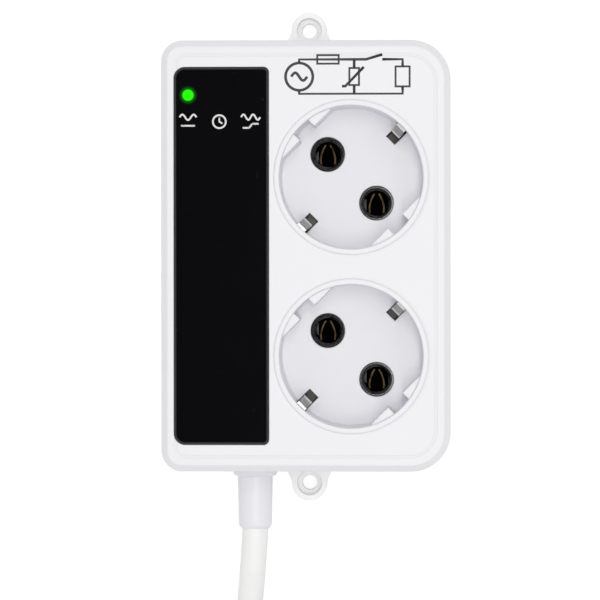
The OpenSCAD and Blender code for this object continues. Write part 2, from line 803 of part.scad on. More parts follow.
// The black insulator that holds the two pin contacts of one outlet
module contact_carrier(i) translate([socket_x, socket_ys[i], 0]) rotate([0, 0, pin_turn]) difference() {
    union() {
        translate([-pin_pitch / 2, -web_w / 2, bar_top]) cube([pin_pitch, web_w, web_top - bar_top]);
        for (s = [-1, 1]) translate([s * pin_pitch / 2, 0, 0]) {
            translate([0, 0, bar_top]) cylinder(r = carrier_r, h = carrier_top - bar_top);
            rotate_extrude() polygon([
                [0, carrier_top - 0.5],
                [tower_d / 2, carrier_top - 0.5],
                [tower_d / 2, tower_z - tower_soft],
                [tower_d / 2 - tower_soft, tower_z],
                [0, tower_z]
            ]);
        }
    }
    for (s = [-1, 1]) translate([s * pin_pitch / 2, 0, 0]) {
        translate([0, 0, bar_top - 1]) cylinder(d = pin_hole_d, h = recess_depth * 2);
        translate([0, 0, tower_z - mouth_depth])
            cylinder(r1 = pin_hole_d / 2, r2 = mouth_r, h = mouth_depth);
        translate([0, 0, tower_z]) cylinder(r = mouth_r, h = 1);
    }
}
module contact_carrier_upper() color([0.09, 0.09, 0.1]) contact_carrier(0);
module contact_carrier_lower() color([0.09, 0.09, 0.1]) contact_carrier(1);

// A brass bar with a pair of spring leaves standing in each pin hole that it serves
module contact_bar(x, ys) {
    translate([x - bar_w / 2, ys[1] - bar_over, bar_under])
        cube([bar_w, ys[0] - ys[1] + 2 * bar_over, bar_t]);
    for (y = ys, way = [0, 1])
        translate([x, y, bar_under + bar_t / 2]) mirror([way, 0, 0])
            linear_extrude(leaf_top - bar_under - bar_t / 2) polygon(strip_outline(leaf_plan, leaf_t));
}
module live_bar() color([0.72, 0.53, 0.25]) contact_bar(live_x, live_ys);
module neutral_bar() color([0.72, 0.53, 0.25]) contact_bar(neutral_x, neutral_ys);

// A steel strip that crosses under one recess and rises as a spring at both ends
module earth_bridge(i) {
    whole = concat(
        [for (k = [len(spring_half) - 1:-1:0]) [-spring_half[k][0], spring_half[k][1]]],
        spring_half
    );
    translate([socket_x, socket_ys[i], 0]) rotate([0, 0, spring_turn])
        translate([0, spring_w / 2, 0]) rotate([90, 0, 0])
        linear_extrude(spring_w) polygon(strip_outline(whole, spring_t));
}
module earth_bridge_upper() color([0.75, 0.75, 0.77]) earth_bridge(0);
module earth_bridge_lower() color([0.75, 0.75, 0.77]) earth_bridge(1);

// The strip that joins the two earth bridges
module earth_link() color([0.75, 0.75, 0.77]) translate([0, 0, link_z]) linear_extrude(link_t)
    polygon(strip_outline([
        [socket_x - link_on + 1.4, link_ys[0]],
        [link_x + 1.2, link_ys[0]],
        [link_x, link_ys[0] - 1.2],
        [link_x, link_ys[1] + 1.2],
        [link_x + 1.2, link_ys[1]],
        [socket_x - link_on + 1.4, link_ys[1]]
    ], link_w));

module control_board() color([0.1, 0.35, 0.2]) difference() {
    translate([board_x - board_w / 2, board_y - board_h / 2, board_under])
        cube([board_w, board_h, board_t]);
    for (p = pillars) translate([p[0], p[1], board_under - 1]) cylinder(d = board_hole_d, h = board_t + 2);
}

module board_screws() color([0.7, 0.7, 0.72])
    for (p = pillars) translate([p[0], p[1], board_under]) rotate([180, 0, 0])
        screw(board_screw_head_d, board_screw_head_h, board_screw_d, board_t + board_screw_bite);

// A component block hung under the board, with its middle and its size
module hung(x, y, size, edge = 0.5) {
    translate([board_x + x, y, board_under - size[2]])
        block(size[0], size[1], edge * 2, edge * 2, [[edge, 0], [0, edge], [0, size[2]]]);
}
module relay() color([0.15, 0.3, 0.6]) hung(relay_x, outlet_y, [relay_w, relay_len, relay_h]);
module film_capacitor() color([0.8, 0.65, 0.15]) hung(0, film_y, film_size);
module electrolytic_capacitor() color([0.12, 0.12, 0.14])
    translate([reservoir_x, reservoir_y, board_under - reservoir_h]) {
        cylinder(r = reservoir_foot_r, h = reservoir_foot_h);
        translate([0, 0, reservoir_foot_h]) cylinder(r = reservoir_r, h = reservoir_h - reservoir_foot_h);
    }
module varistor() color([0.15, 0.35, 0.65]) translate([varistor_x, varistor_y, board_under]) {
    translate([0, 0, -varistor_drop]) rotate([90, 0, 0]) cylinder(r = varistor_r, h = varistor_t);
    for (s = [-1, 1])
        translate([s * varistor_leg_x, -varistor_t / 2, -varistor_leg_h])
            cylinder(d = varistor_leg_d, h = varistor_leg_h);
}
module fuse() color([0.75, 0.75, 0.72]) translate([board_x, fuse_y, board_under]) {
    translate([-fuse_len / 2, 0, -fuse_drop]) rotate([0, 90, 0]) cylinder(d = fuse_d, h = fuse_len);
    for (s = [-1, 1]) translate([s * (fuse_len / 2 + 0.2), 0, 0]) {
        translate([-fuse_cap_len / 2, 0, -fuse_drop])
            rotate([0, 90, 0]) cylinder(d = fuse_cap_d, h = fuse_cap_len);
        translate([-fuse_leg[0] / 2, -fuse_leg[1] / 2, -fuse_leg[2]]) cube(fuse_leg);
    }
}
module rectifier() color([0.12, 0.12, 0.13]) hung(rectifier_at[0], rectifier_at[1], rectifier_size);
module controller_chip() color([0.1, 0.1, 0.1]) hung(chip_at[0], chip_at[1], chip_size, 0.25);
module resistors() color([0.25, 0.22, 0.2])
    for (k = [0:4]) hung(resistor_at[0] + resistor_pitch * k, resistor_at[1], resistor_size, 0.1);

// Screw terminals for the inlet and for the outlets
module terminal_block(deep) difference() {
    translate([-terminal_pitch, -deep / 2, -terminal_h]) cube([2 * terminal_pitch, deep, terminal_h]);
    for (s = [-1, 1]) translate([s * terminal_pitch / 2, 0, 0]) {
        translate([0, -deep / 2 + terminal_hold + 0.3, -terminal_drop])
            rotate([90, 0, 0]) cylinder(d = core_d + 0.2, h = terminal_hold + 1);
        translate([0, 0, -terminal_h - 1]) cylinder(d = terminal_screw_d, h = 1.8);
    }
}
module terminal_blocks() color([0.2, 0.55, 0.3]) {
    translate([board_x, inlet_y, board_under]) terminal_block(terminal_deep);
    translate([outlet_x, outlet_y, board_under]) rotate([0, 0, 90]) terminal_block(outlet_deep);
}

// Wire routes, from the cord's cut jacket or a terminal to the piece that each one serves
core_at = [
    for (a = [90, 210, 330]) [gland_x + core_ring * cos(a), inner_end_y, gland_z + core_ring * sin(a)]
];
inlet_face_y = inlet_y - terminal_deep / 2;
inlet_right = [board_x + terminal_pitch / 2, inlet_face_y, inlet_z];
inlet_left = [board_x - terminal_pitch / 2, inlet_face_y, inlet_z];
wire_live_in_points = [
    core_at[0],
    core_at[0] + [0, 1.5, 0],
    core_at[0] + [-0.9, 4.4, 1.2],
    inlet_right + [0.6, -5, -3.6],
    inlet_right + [0, -2.4, -0.4],
    inlet_right + [0, -0.8, 0],
    inlet_right + [0, terminal_hold, 0]
];
wire_neutral_in_points = [
    core_at[1],
    core_at[1] + [-0.1, 1.5, 0],
    core_at[1] + [-1.6, 4.6, 0.9],
    inlet_left + [2, -6.4, -6],
    inlet_left + [0, -3, -0.8],
    inlet_left + [0, -0.8, 0],
    inlet_left + [0, terminal_hold, 0]
];
earth_wire_y = inner_end_y + 12;
wire_earth_points = [
    core_at[2],
    core_at[2] + [0.1, 1.5, 0],
    core_at[2] + [1.6, 4.8, 0.2],
    [link_x - 2.2, earth_wire_y - 3, gland_z + 1],
    [link_x, earth_wire_y, gland_z + 4],
    [link_x, earth_wire_y, link_z - 2],
    [link_x, earth_wire_y, link_z]
];
outlet_face_x = outlet_x + outlet_deep / 2;
outlet_upper = [outlet_face_x, outlet_y + terminal_pitch / 2, inlet_z];
outlet_lower = [outlet_face_x, outlet_y - terminal_pitch / 2, inlet_z];
wire_live_out_points = [
    outlet_upper - [terminal_hold, 0, 0],
    outlet_upper + [0.7, 0, 0],
    outlet_upper + [2.2, -0.2, -1.6],
    outlet_upper + [3, -2.4, -9],
    [live_x - 5.5, outlet_y - 4, bar_top + 4],
    [live_x - 0.6, outlet_y - live_foot_y + 0.2, bar_top + 3.6],
    [live_x, outlet_y - live_foot_y, bar_top + 1.4],
    [live_x, outlet_y - live_foot_y, bar_top]
];
wire_neutral_out_points = [
    outlet_lower - [terminal_hold, 0, 0],
    outlet_lower + [0.7, 0, 0],
    outlet_lower + [2.2, -0.2, -1.6],
    outlet_lower + [3.2, -4.4, -10],
    [live_x, outlet_y - 13, bar_top + 4.6],
    [neutral_x - 4, outlet_y - neutral_foot_y + 0.2, bar_top + 4.2],
    [neutral_x, outlet_y - neutral_foot_y, bar_top + 1.8],
    [neutral_x, outlet_y - neutral_foot_y, bar_top]
];
module wire(points, first, last) {
    tube(smoothed(points, 3), core_d, core_sides, first, last);
}
module wire_live_in() color([0.45, 0.27, 0.16]) wire(wire_live_in_points, [0, 1, 0], [0, 1, 0]);
module wire_neutral_in() color([0.2, 0.4, 0.75]) wire(wire_neutral_in_points, [0, 1, 0], [0, 1, 0]);
module wire_earth() color([0.5, 0.65, 0.15]) wire(wire_earth_points, [0, 1, 0], [0, 0, 1]);
module wire_live_out() color([0.45, 0.27, 0.16]) wire(wire_live_out_points, [1, 0, 0], [0, 0, -1]);
module wire_neutral_out() color([0.2, 0.4, 0.75]) wire(wire_neutral_out_points, [1, 0, 0], [0, 0, -1]);

module cord_inner_end() color([0.93, 0.93, 0.93])
    translate([gland_x, inner_end_y, gland_z])
        rotate([90, 0, 0]) cylinder(d = cord_d, h = inner_end_y - gland_end_y);

// The bar that presses the cord into its saddle
module cord_clamp() color([0.9, 0.9, 0.9]) difference() {
    translate([gland_x - clamp_post_dx - clamp_post_r, clamp_y - clamp_w / 2, gland_z + cord_d / 2])
        cube([2 * (clamp_post_dx + clamp_post_r), clamp_w, clamp_t]);
    for (s = [-1, 1])
        translate([gland_x + s * clamp_post_dx, clamp_y, gland_z])
            cylinder(d = clamp_screw_d + 0.4, h = 10);
}
module clamp_screws() color([0.7, 0.7, 0.72])
    for (s = [-1, 1]) translate([gland_x + s * clamp_post_dx, clamp_y, gland_z + cord_d / 2 + clamp_t])
        screw(clamp_head_d, clamp_head_h, clamp_screw_d, clamp_t + clamp_screw_len - 1);

module housing_screws() color([0.65, 0.65, 0.68])
    for (b = bosses) translate([b[0], b[1], screw_sink_depth]) rotate([180, 0, 0])
        screw(screw_head_d, screw_head_h, screw_shank_d, boss_split - screw_sink_depth + screw_bite);

// The gland: collar inside the wall, neck through it, rounded flange, sleeve and lip
module cord_gland() color([0.94, 0.94, 0.94])
    translate([gland_x, gland_face_y, gland_z]) rotate([90, 0, 0]) difference() {
        rotate_extrude() polygon(concat(
            [
                [0, -wall - fit_gap - gland_collar_t],
                [gland_collar_r, -wall - fit_gap - gland_collar_t],
                [gland_collar_r, -wall - fit_gap],
                [gland_neck_r, -wall - fit_gap],
                [gland_neck_r, 0],
                [gland_flange_d / 2, 0]
            ],
            [for (a = [0:15:90]) [
                gland_flange_d / 2 - gland_round * (1 - cos(a)),
                gland_flange_t - gland_round * (1 - sin(a))
            ]],
            [
                [gland_sleeve_d / 2, gland_flange_t + 0.15],
                [gland_sleeve_d / 2 - 0.2, gland_len - gland_lip],
                [gland_sleeve_d / 2 - 0.35, gland_len - gland_lip * 0.55],
                [gland_sleeve_d / 2 - 0.65, gland_len - gland_lip * 0.2],
                [cord_d / 2 + 0.35, gland_len],
                [0, gland_len]
            ]
        ));
        translate([0, 0, -20]) cylinder(r = gland_bore_r, h = 60);
    }

module cord_run() color([0.94, 0.94, 0.94])
    tube([for (p = run_points) run_start + p], cord_d, tube_sides, [0, -1, 0], lead_dir);

// The ring of turns
module coil_shape() {
    inner = coil_in_r - coil_slack;
    outer = coil_out_r + coil_slack;
    low = coil_slack;
    high = coil_h - coil_slack;
    translate([coil_x, coil_y, 0]) rotate_extrude() polygon([
        [inner + coil_soft, low],
        [outer - coil_soft, low],
        [outer - coil_soft * 0.3, low + coil_soft * 0.3],
        [outer, low + coil_soft],
        [outer, high - coil_soft],
        [outer - coil_soft * 0.3, high - coil_soft * 0.3],
        [outer - coil_soft, high],
        [inner + coil_soft, high],
        [inner + coil_soft * 0.3, high - coil_soft * 0.3],
        [inner, high - coil_soft],
        [inner, low + coil_soft],
        [inner + coil_soft * 0.3, low + coil_soft * 0.3]
    ]);
}
// The coil's outer shape, with its two straight leads and the groove under its strap
module cord_coil() color([0.94, 0.94, 0.94]) difference() {
    union() {
        coil_shape();
        translate([run_end[0], run_end[1], cord_d / 2]) rotate([0, 90, turn_a + 90])
            cylinder(d = cord_d, h = coil_lead - coil_short);
        translate([tail_start[0], tail_start[1], 1.5 * cord_d]) rotate([0, 90, turn_a - 90])
            cylinder(d = cord_d, h = coil_lead - coil_short);
    }
    tie_ring();
}

module cord_tail() color([0.94, 0.94, 0.94])
    tube([for (p = tail_points) tail_start + p], cord_d, tube_sides, lead_dir, [1, 0, 0]);

// A flat strap round the bundle
module tie_ring() {
    translate([coil_x, coil_y, 0])
        rotate([0, 0, tie_turn])
        translate([coil_r, tie_w / 2, 0])
        rotate([90, 0, 0])
        linear_extrude(tie_w)
        difference() {
            translate([-1.5 * cord_d - tie_t, 0]) square([3 * cord_d + 2 * tie_t, coil_h + 2 * tie_t]);
            translate([-1.5 * cord_d, tie_t]) square([3 * cord_d, coil_h]);
        }
}
module coil_tie() color([0.12, 0.12, 0.13]) tie_ring();

// The plug lies with one guide flat on the surface and its pins one above the other
module at_plug() {
    translate([plug_face_x, tail_end[1], plug_axis_z]) rotate([0, 90, 0]) children();
}
boot_z = -plug_grip_len - plug_boot_len;
function boot_r(z) = plug_boot_r + plug_boot_grow * (z - boot_z) / plug_boot_len;
function boot_ring(z) = [
    [boot_r(z), z],
    [boot_r(z) - boot_ring_depth, z + 0.15],
    [boot_r(z) - boot_ring_depth, z + boot_ring_w - 0.15],
    [boot_r(z + boot_ring_w), z + boot_ring_w]
];
function grip_rib(z) = [
    [plug_grip_r, z],
    [plug_grip_r + grip_rib_h, z + 0.3],
    [plug_grip_r + grip_rib_h, z + grip_rib_w - 0.3],
    [plug_grip_r, z + grip_rib_w]
];
module plug_body() color([0.94, 0.94, 0.94]) at_plug() difference() {
    rotate_extrude() polygon(concat(
        [[0, boot_z], [plug_boot_r, boot_z]],
        [for (k = [0:4], q = boot_ring(boot_z + 2 + k * boot_ring_pitch)) q],
        [
            [boot_r(-plug_grip_len - 1), -plug_grip_len - 1],
            [plug_grip_r - 4.4, -plug_grip_len],
            [plug_grip_r - 1.3, -plug_grip_len + 1.2],
            [plug_grip_r, -plug_grip_len + 4]
        ],
        [for (k = [0:4], q = grip_rib(-plug_grip_len + 5 + k * grip_rib_pitch)) q],
        [
            [plug_grip_r, -plug_grip_len + 19],
            [plug_grip_r + 0.5, -plug_grip_len + 21.5],
            [plug_grip_r + 2.5, -plug_grip_len + 25],
            [plug_d / 2 - 0.6, -9.5],
            [plug_d / 2, -8],
            [plug_d / 2, -0.6],
            [plug_d / 2 - 0.6, 0],
            [0, 0]
        ]
    ));
    for (s = [0, 180]) rotate([0, 0, s]) {
        translate([plug_flat, -plug_d, -14]) cube([10, 2 * plug_d, 20]);
        translate([plug_flat - 2.2, -2.5, -9]) cube([10, 5, 10]);
    }
    for (s = [90, 270]) rotate([0, 0, s])
        translate([strip_r - strip_t, -strip_w / 2, -strip_len + 1]) cube([10, strip_w, strip_len]);
    for (s = [-1, 1])
        translate([s * pin_pitch / 2, 0, -plug_pin_bite]) cylinder(d = plug_pin_root_d, h = 20);
}
module plug_pins() color([0.8, 0.78, 0.74]) at_plug()
    for (s = [-1, 1]) translate([s * pin_pitch / 2, 0, -plug_pin_bite]) rotate_extrude() polygon([
        [0, 0],
        [plug_pin_root_d / 2, 0],
        [plug_pin_root_d / 2, plug_pin_bite],
        [plug_pin_d / 2, plug_pin_bite],
        [plug_pin_d / 2, plug_pin_bite + plug_pin_len - plug_tip],
        [plug_pin_d / 2 - 0.35, plug_pin_bite + plug_pin_len - plug_tip / 3],
        [plug_pin_d / 2 - 1.1, plug_pin_bite + plug_pin_len],
        [0, plug_pin_bite + plug_pin_len]
    ]);
module plug_earth_strips() color([0.8, 0.78, 0.74]) at_plug()
    for (s = [90, 270]) rotate([0, 0, s])
        translate([strip_r - strip_t, -strip_w / 2 + fit_gap, -strip_len + 1.1])
            cube([strip_t, strip_w - 2 * fit_gap, strip_len - 1.1]);

front_cover();
back_cover();
indicator_window();
light_normal();
light_delay();
light_fault();
contact_carrier_upper();
contact_carrier_lower();
live_bar();
neutral_bar();
earth_bridge_upper();
earth_bridge_lower();
earth_link();
control_board();
board_screws();
relay();
film_capacitor();
electrolytic_capacitor();
varistor();
fuse();
rectifier();
controller_chip();
resistors();
terminal_blocks();
wire_live_in();
wire_neutral_in();
wire_earth();
wire_live_out();
wire_neutral_out();
cord_inner_end();
cord_clamp();
clamp_screws();
housing_screws();
cord_gland();
cord_run();
cord_coil();
cord_tail();
coil_tie();
plug_body();
plug_pins();
plug_earth_strips();
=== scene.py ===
"""Finishes for the appliance voltage protector: its materials, its print, its cord and its studio.

The solids come packed, in metres, and stay where they are. Each operator below dresses one piece,
or one group of like pieces, and main() calls them in order. Lengths are in millimetres, and MM
turns them into metres. The studio's and the settings' distances are in metres from the start.
"""
import math

import bmesh
import bpy
from mathutils import Matrix, Vector


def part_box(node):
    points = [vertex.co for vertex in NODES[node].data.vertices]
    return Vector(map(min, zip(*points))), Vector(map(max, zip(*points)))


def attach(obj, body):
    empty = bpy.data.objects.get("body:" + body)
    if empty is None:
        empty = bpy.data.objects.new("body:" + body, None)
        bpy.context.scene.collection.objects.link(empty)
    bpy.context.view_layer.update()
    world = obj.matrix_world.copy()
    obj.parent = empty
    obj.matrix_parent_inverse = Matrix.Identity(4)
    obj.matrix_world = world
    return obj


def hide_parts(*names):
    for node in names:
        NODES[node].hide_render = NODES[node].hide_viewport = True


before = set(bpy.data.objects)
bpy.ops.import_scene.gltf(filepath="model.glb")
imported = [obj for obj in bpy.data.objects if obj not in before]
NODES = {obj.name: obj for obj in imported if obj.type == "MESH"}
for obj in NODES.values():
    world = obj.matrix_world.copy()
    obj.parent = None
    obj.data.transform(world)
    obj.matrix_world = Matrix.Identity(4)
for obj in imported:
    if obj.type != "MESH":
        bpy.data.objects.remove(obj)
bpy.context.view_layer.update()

bl_info = {
    "name": "Appliance voltage protector",
    "version": (1, 0, 0),
    "blender": (4, 5, 0),
    "location": "3D View > Sidebar > Protector",
    "description": "Dresses the solids of an appliance voltage protector and lights them",
    "category": "Object",
}

MM = 0.001


def node_box(name):
    """Lowest and highest corner of a solid, in millimetres."""
    low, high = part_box(name)
    return Vector(low) / MM, Vector(high) / MM


def node_middle(name):
    low, high = node_box(name)
    return (low + high) / 2


LIGHT_PLACES = {name: node_middle(name) for name in ("light_normal", "light_delay", "light_fault")}
CORD_WIDTH = node_box("cord_inner_end")[1].x - node_box("cord_inner_end")[0].x
WINDOW_LEVEL = node_box("indicator_window")[1].z
FACE_LEVEL = 42.0    # the front cover's face, below the recesses' raised rims
BODY_HALF = 58.75    # half the covers' length without the ears
EAR_TOP = 6.5        # just over the ears
INK_FILM = 0.03      # how far printed ink stands up


# Shader maths: sums on sockets add their own nodes

class Signal:
    """A socket among shader nodes, so that shader maths reads as Python."""

    def __init__(self, nodes, socket):
        self.nodes = nodes
        self.socket = socket

    def math(self, operation, *values, clamp=False):
        settings = {"operation": operation, "use_clamp": clamp}
        return self.nodes.add("Math", settings, dict(enumerate(values)))

    def __add__(self, other):
        return self.math("ADD", self, other)

    def __radd__(self, other):
        return self.math("ADD", other, self)

    def __sub__(self, other):
        return self.math("SUBTRACT", self, other)

    def __rsub__(self, other):
        return self.math("SUBTRACT", other, self)

    def __mul__(self, other):
        return self.math("MULTIPLY", self, other)

    def __rmul__(self, other):
        return self.math("MULTIPLY", other, self)

    def __truediv__(self, other):
        return self.math("DIVIDE", self, other)

    def __rtruediv__(self, other):
        return self.math("DIVIDE", other, self)

    def __pow__(self, other):
        return self.math("POWER", self, other)

    def __rpow__(self, other):
        return self.math("POWER", other, self)

    def __abs__(self):
        return self.math("ABSOLUTE", self)

    def sine(self):
        return self.math("SINE", self)

    def most(self, other):
        return self.math("MAXIMUM", self, other)

    def clamped(self):
        return self.math("ADD", self, 0.0, clamp=True)

    def swing(self, amount):
        """Turns a noise of 0 to 1 into one about zero that spans the amount."""
        return (self - 0.5) * amount

    def fade(self, start, end):
        """0 at start and 1 at end, with soft ends."""
        settings = {"interpolation_type": "SMOOTHSTEP"}
        inputs = {"Value": self, "From Min": start, "From Max": end}
        return self.nodes.add("MapRange", settings, inputs)


def fill_ramp(ramp, stops):
    """Sets a colour ramp's stops from pairs of a place and a colour."""
    while len(ramp.elements) > 1:
        ramp.elements.remove(ramp.elements[-1])
    for number, (place, color) in enumerate(stops):
        stop = ramp.elements[0] if number == 0 else ramp.elements.new(place)
        stop.position = place
        stop.color = (*color, 1.0)


class Nodes:
    """The shader nodes of a material or of the world, made anew."""

    def __init__(self, owner):
        owner.use_nodes = True
        self.tree = owner.node_tree
        self.tree.nodes.clear()

    def add(self, kind, settings=None, inputs=None, output=0):
        """Adds a node of that kind, sets it, fills or links its sockets, and gives one output."""
        node = self.tree.nodes.new("ShaderNode" + kind)
        for key, value in (settings or {}).items():
            if key == "stops":
                fill_ramp(node.color_ramp, value)
            else:
                setattr(node, key, value)
        for key, value in (inputs or {}).items():
            socket = node.inputs[key]
            if isinstance(value, Signal):
                self.tree.links.new(value.socket, socket)
            elif hasattr(socket.default_value, "__len__") and len(socket.default_value) == 4:
                socket.default_value = (*value, 1.0)
            else:
                socket.default_value = value
        return Signal(self, node.outputs[output]) if node.outputs else None

    def backdrop(self):
        """1 where the camera, a mirror or glass looks at a background, and 0 for other light."""
        camera, gloss, glass = (
            self.add("LightPath", output=ray)
            for ray in ("Is Camera Ray", "Is Glossy Ray", "Is Transmission Ray")
        )
        return camera.most(gloss).most(glass)


class Finish(Nodes):
    """A material under construction."""

    def __init__(self, name):
        self.material = bpy.data.materials.new(name)
        super().__init__(self.material)

    def place(self):
        """Where the point lies on the piece, in millimetres."""
        spot = self.add("TexCoord", output="Object")
        return self.add("VectorMath", {"operation": "SCALE"}, {0: spot, "Scale": 1 / MM})

    def axis(self, place, letter):
        return self.add("SeparateXYZ", inputs={0: place}, output=letter)

    def finer(self, place, scales):
        """The same place, for a pattern that is so many times finer along each axis."""
        return self.add("Mapping", {"vector_type": "POINT"}, {"Vector": place, "Scale": scales})

    def blend(self, share, first, second, **settings):
        """Goes from the first colour to the second."""
        settings["data_type"] = "RGBA"
        return self.add("Mix", settings, {0: share, 6: first, 7: second}, output=2)

    def noise(self, place, scale, detail=2.0, rough=0.5):
        inputs = {"Vector": place, "Scale": scale, "Detail": detail, "Roughness": rough}
        return self.add("TexNoise", inputs=inputs)

    def bump(self, height, depth, strength=1.0, **normal):
        """A relief of that depth, in millimetres, over another relief where Normal is given."""
        inputs = {"Height": height, "Distance": depth * MM, "Strength": strength, **normal}
        return self.add("Bump", inputs=inputs)

    def end(self, shader):
        """Ends the material with that shader."""
        self.add("OutputMaterial", inputs={"Surface": shader})
        return self.material

    def surface(self, **sockets):
        """Ends the material with the main shader, by its sockets' names."""
        inputs = {name.replace("_", " "): value for name, value in sockets.items()}
        return self.end(self.add("BsdfPrincipled", inputs=inputs))


def shaded(color, share):
    return tuple(channel * share for channel in color)


# Finishes. A noise's scale is in cells to the millimetre, and a relief's depth in millimetres

def moulded_plastic(name, color, rough, grain=0.012, tint=0.985, spread=1.0):
    """A moulding with a fine spark-eroded grain, a faint drift of colour and of gloss."""
    finish = Finish(name)
    place = finish.place()
    grains = finish.noise(place, scale=5.0, detail=3.0, rough=0.6)
    drift = finish.noise(place, scale=0.06)
    patches = finish.noise(place, scale=0.9)
    return finish.surface(
        Base_Color=finish.blend(drift, shaded(color, tint), color),
        Roughness=patches.swing(0.08 * spread) + grains.swing(0.1 * spread) + rough,
        Normal=finish.bump(grains, grain, strength=0.6),
    )


def housing_plastic(name, color, rough, grain):
    """The covers' plastic: fine grain, soft moulded edges, a faint drift of tone, and painted light
    on the ears, which lifts them out of the shade of the body's sides.
    """
    finish = Finish(name)
    place = finish.place()
    grains = finish.noise(place, scale=4.5, detail=3.0, rough=0.6)
    drift = finish.noise(place, scale=0.035)
    waves = finish.noise(place, scale=0.12, detail=1.0)
    tone = finish.blend(drift, shaded(color, 0.99), color)
    # Painted light: below EAR_TOP and beyond the body's ends, the ears are painted paler to stand
    # in for the light that the body's sides keep from them.
    low = 1 - finish.axis(place, "Z").fade(EAR_TOP, EAR_TOP + 1.0)
    beyond = abs(finish.axis(place, "Y")).fade(BODY_HALF, BODY_HALF + 1.5)
    edge = finish.add("Bevel", {"samples": 4}, {"Radius": 0.35 * MM})
    shrink = finish.bump(waves, depth=0.03, strength=0.4, Normal=edge)
    ear_painted_light = (0.98, 0.985, 0.995)
    return finish.surface(
        Base_Color=finish.blend(low * beyond, tone, ear_painted_light),
        Roughness=drift.swing(0.06) + grains.swing(0.12) + rough,
        Normal=finish.bump(grains, grain, strength=0.5, Normal=shrink),
    )


def window_acrylic(name, color, glow_color, spot, glow, width):
    """Black polished acrylic, and the faintest haze of handling. The lit lamp behind it shows as a
    glowing disc painted on its face, with a painted halo round it.
    """
    finish = Finish(name)
    place = finish.place()
    off_x = finish.axis(place, "X") - spot.x
    off_y = finish.axis(place, "Y") - spot.y
    distance = (off_x * off_x + off_y * off_y) ** 0.5
    # Painted light: the lamp's light is painted as a glow on the window's top face, a disc with a
    # fainter halo round it.
    disc = 1 - distance.fade(width * 0.46, width * 0.53)
    painted_halo = (1 - distance.fade(width * 0.42, width * 0.9)) ** 1.6
    on_top = finish.axis(place, "Z").fade(WINDOW_LEVEL - 0.2, WINDOW_LEVEL - 0.1)
    haze = finish.noise(place, scale=0.08, detail=3.0)
    specks = finish.noise(place, scale=2.2, detail=1.0).fade(0.78, 0.84)
    waves = finish.noise(place, scale=0.035, detail=1.0)
    return finish.surface(
        Base_Color=finish.blend(specks * 0.25, color, (0.02, 0.02, 0.022)),
        Roughness=haze.swing(0.03) + 0.045 + specks * 0.2,
        Emission_Color=finish.blend(disc.most(painted_halo * 0.2) * on_top, (0.0, 0.0, 0.0), glow_color),
        Emission_Strength=glow,
        Normal=finish.bump(waves, depth=0.02, strength=0.3),
    )


def lamp_plastic(name, color, glow):
    """A lamp's tinted resin, brighter towards its tip."""
    finish = Finish(name)
    place = finish.place()
    low, high = node_box("light_normal")
    tip = finish.axis(place, "Z").fade(low.z, high.z)
    swirl = finish.noise(place, scale=1.5)
    return finish.surface(
        Base_Color=finish.blend(swirl * 0.4, color, shaded(color, 0.7)),
        Roughness=swirl.swing(0.06) + 0.16,
        Emission_Color=finish.blend(tip, shaded(color, 0.2), color),
        Emission_Strength=glow,
        Normal=finish.bump(swirl, depth=0.01),
    )


def stamped_metal(name, color, rough, top, painted_shading, lines, tarnish):
    """Rolled sheet: fine lines, patches of slight tarnish, and painted shade and highlights that go
    by height.

    Each painted tone stands with its height from the top: painted shade where the piece goes deep,
    and a painted highlight where it would catch the light.
    Lines says how fine the scratches are along each axis.
    """
    finish = Finish(name)
    place = finish.place()
    scratches = finish.noise(finish.finer(place, lines), scale=1.0, detail=4.0, rough=0.6)
    patches = finish.noise(place, scale=0.45, detail=3.0, rough=0.6)
    base = finish.blend(patches.fade(0.35, 0.75), color, shaded(color, tarnish))
    lowest = painted_shading[0][0]
    span = painted_shading[-1][0] - lowest
    stops = [((height - lowest) / span, (tone, tone, tone)) for height, tone in painted_shading]
    # Painted light: the colour is multiplied by a tone that goes by height, standing in for shade
    # and highlights.
    share = (finish.axis(place, "Z") - (top + lowest)) / span
    tone = finish.add("ValToRGB", {"stops": stops}, {"Fac": share})
    return finish.surface(
        Base_Color=finish.blend(1.0, base, tone, blend_type="MULTIPLY"),
        Metallic=1.0,
        Roughness=scratches.swing(0.2) + patches.swing(0.1) + rough,
        Normal=finish.bump(scratches, depth=0.006, strength=0.7),
    )


def plated_metal(name, color, rough):
    """Zinc or nickel plate over a turned part: a faint orange peel and dull patches."""
    finish = Finish(name)
    place = finish.place()
    peel = finish.noise(place, scale=3.5, detail=3.0)
    dull = finish.noise(place, scale=0.8)
    return finish.surface(
        Base_Color=finish.blend(dull, color, shaded(color, 0.86)),
        Metallic=1.0,
        Roughness=dull.swing(0.12) + rough,
        Normal=finish.bump(peel, depth=0.008, strength=0.6),
    )


def soft_jacket(name, color, rough=0.46):
    """Soft vinyl: a silky skin with small drawn ripples and a little dust."""
    finish = Finish(name)
    place = finish.place()
    ripples = finish.noise(place, scale=1.4)
    skin = finish.noise(place, scale=9.0)
    dust = finish.noise(place, scale=0.25, detail=3.0).fade(0.5, 0.8)
    return finish.surface(
        Base_Color=finish.blend(dust * 0.5, color, shaded(color, 0.95)),
        Roughness=ripples.swing(0.1) + skin.swing(0.08) + rough,
        Specular_IOR_Level=0.45,
        Normal=finish.bump(ripples * 0.7 + skin * 0.3, depth=0.03, strength=0.5),
    )


def striped_jacket(name, color, stripe):
    """Earth insulation: a stripe that winds along the wire."""
    finish = Finish(name)
    place = finish.place()
    across, up, out = (finish.axis(place, letter) for letter in "XYZ")
    pitch = 5.0
    along = (across + up * 0.5 + out * 0.7) * (math.tau / pitch)
    skin = finish.noise(place, scale=8.0)
    return finish.surface(
        Base_Color=finish.blend(along.sine().fade(0.0, 0.15), color, stripe),
        Roughness=skin.swing(0.12) + 0.42,
        Normal=finish.bump(skin, depth=0.01),
    )


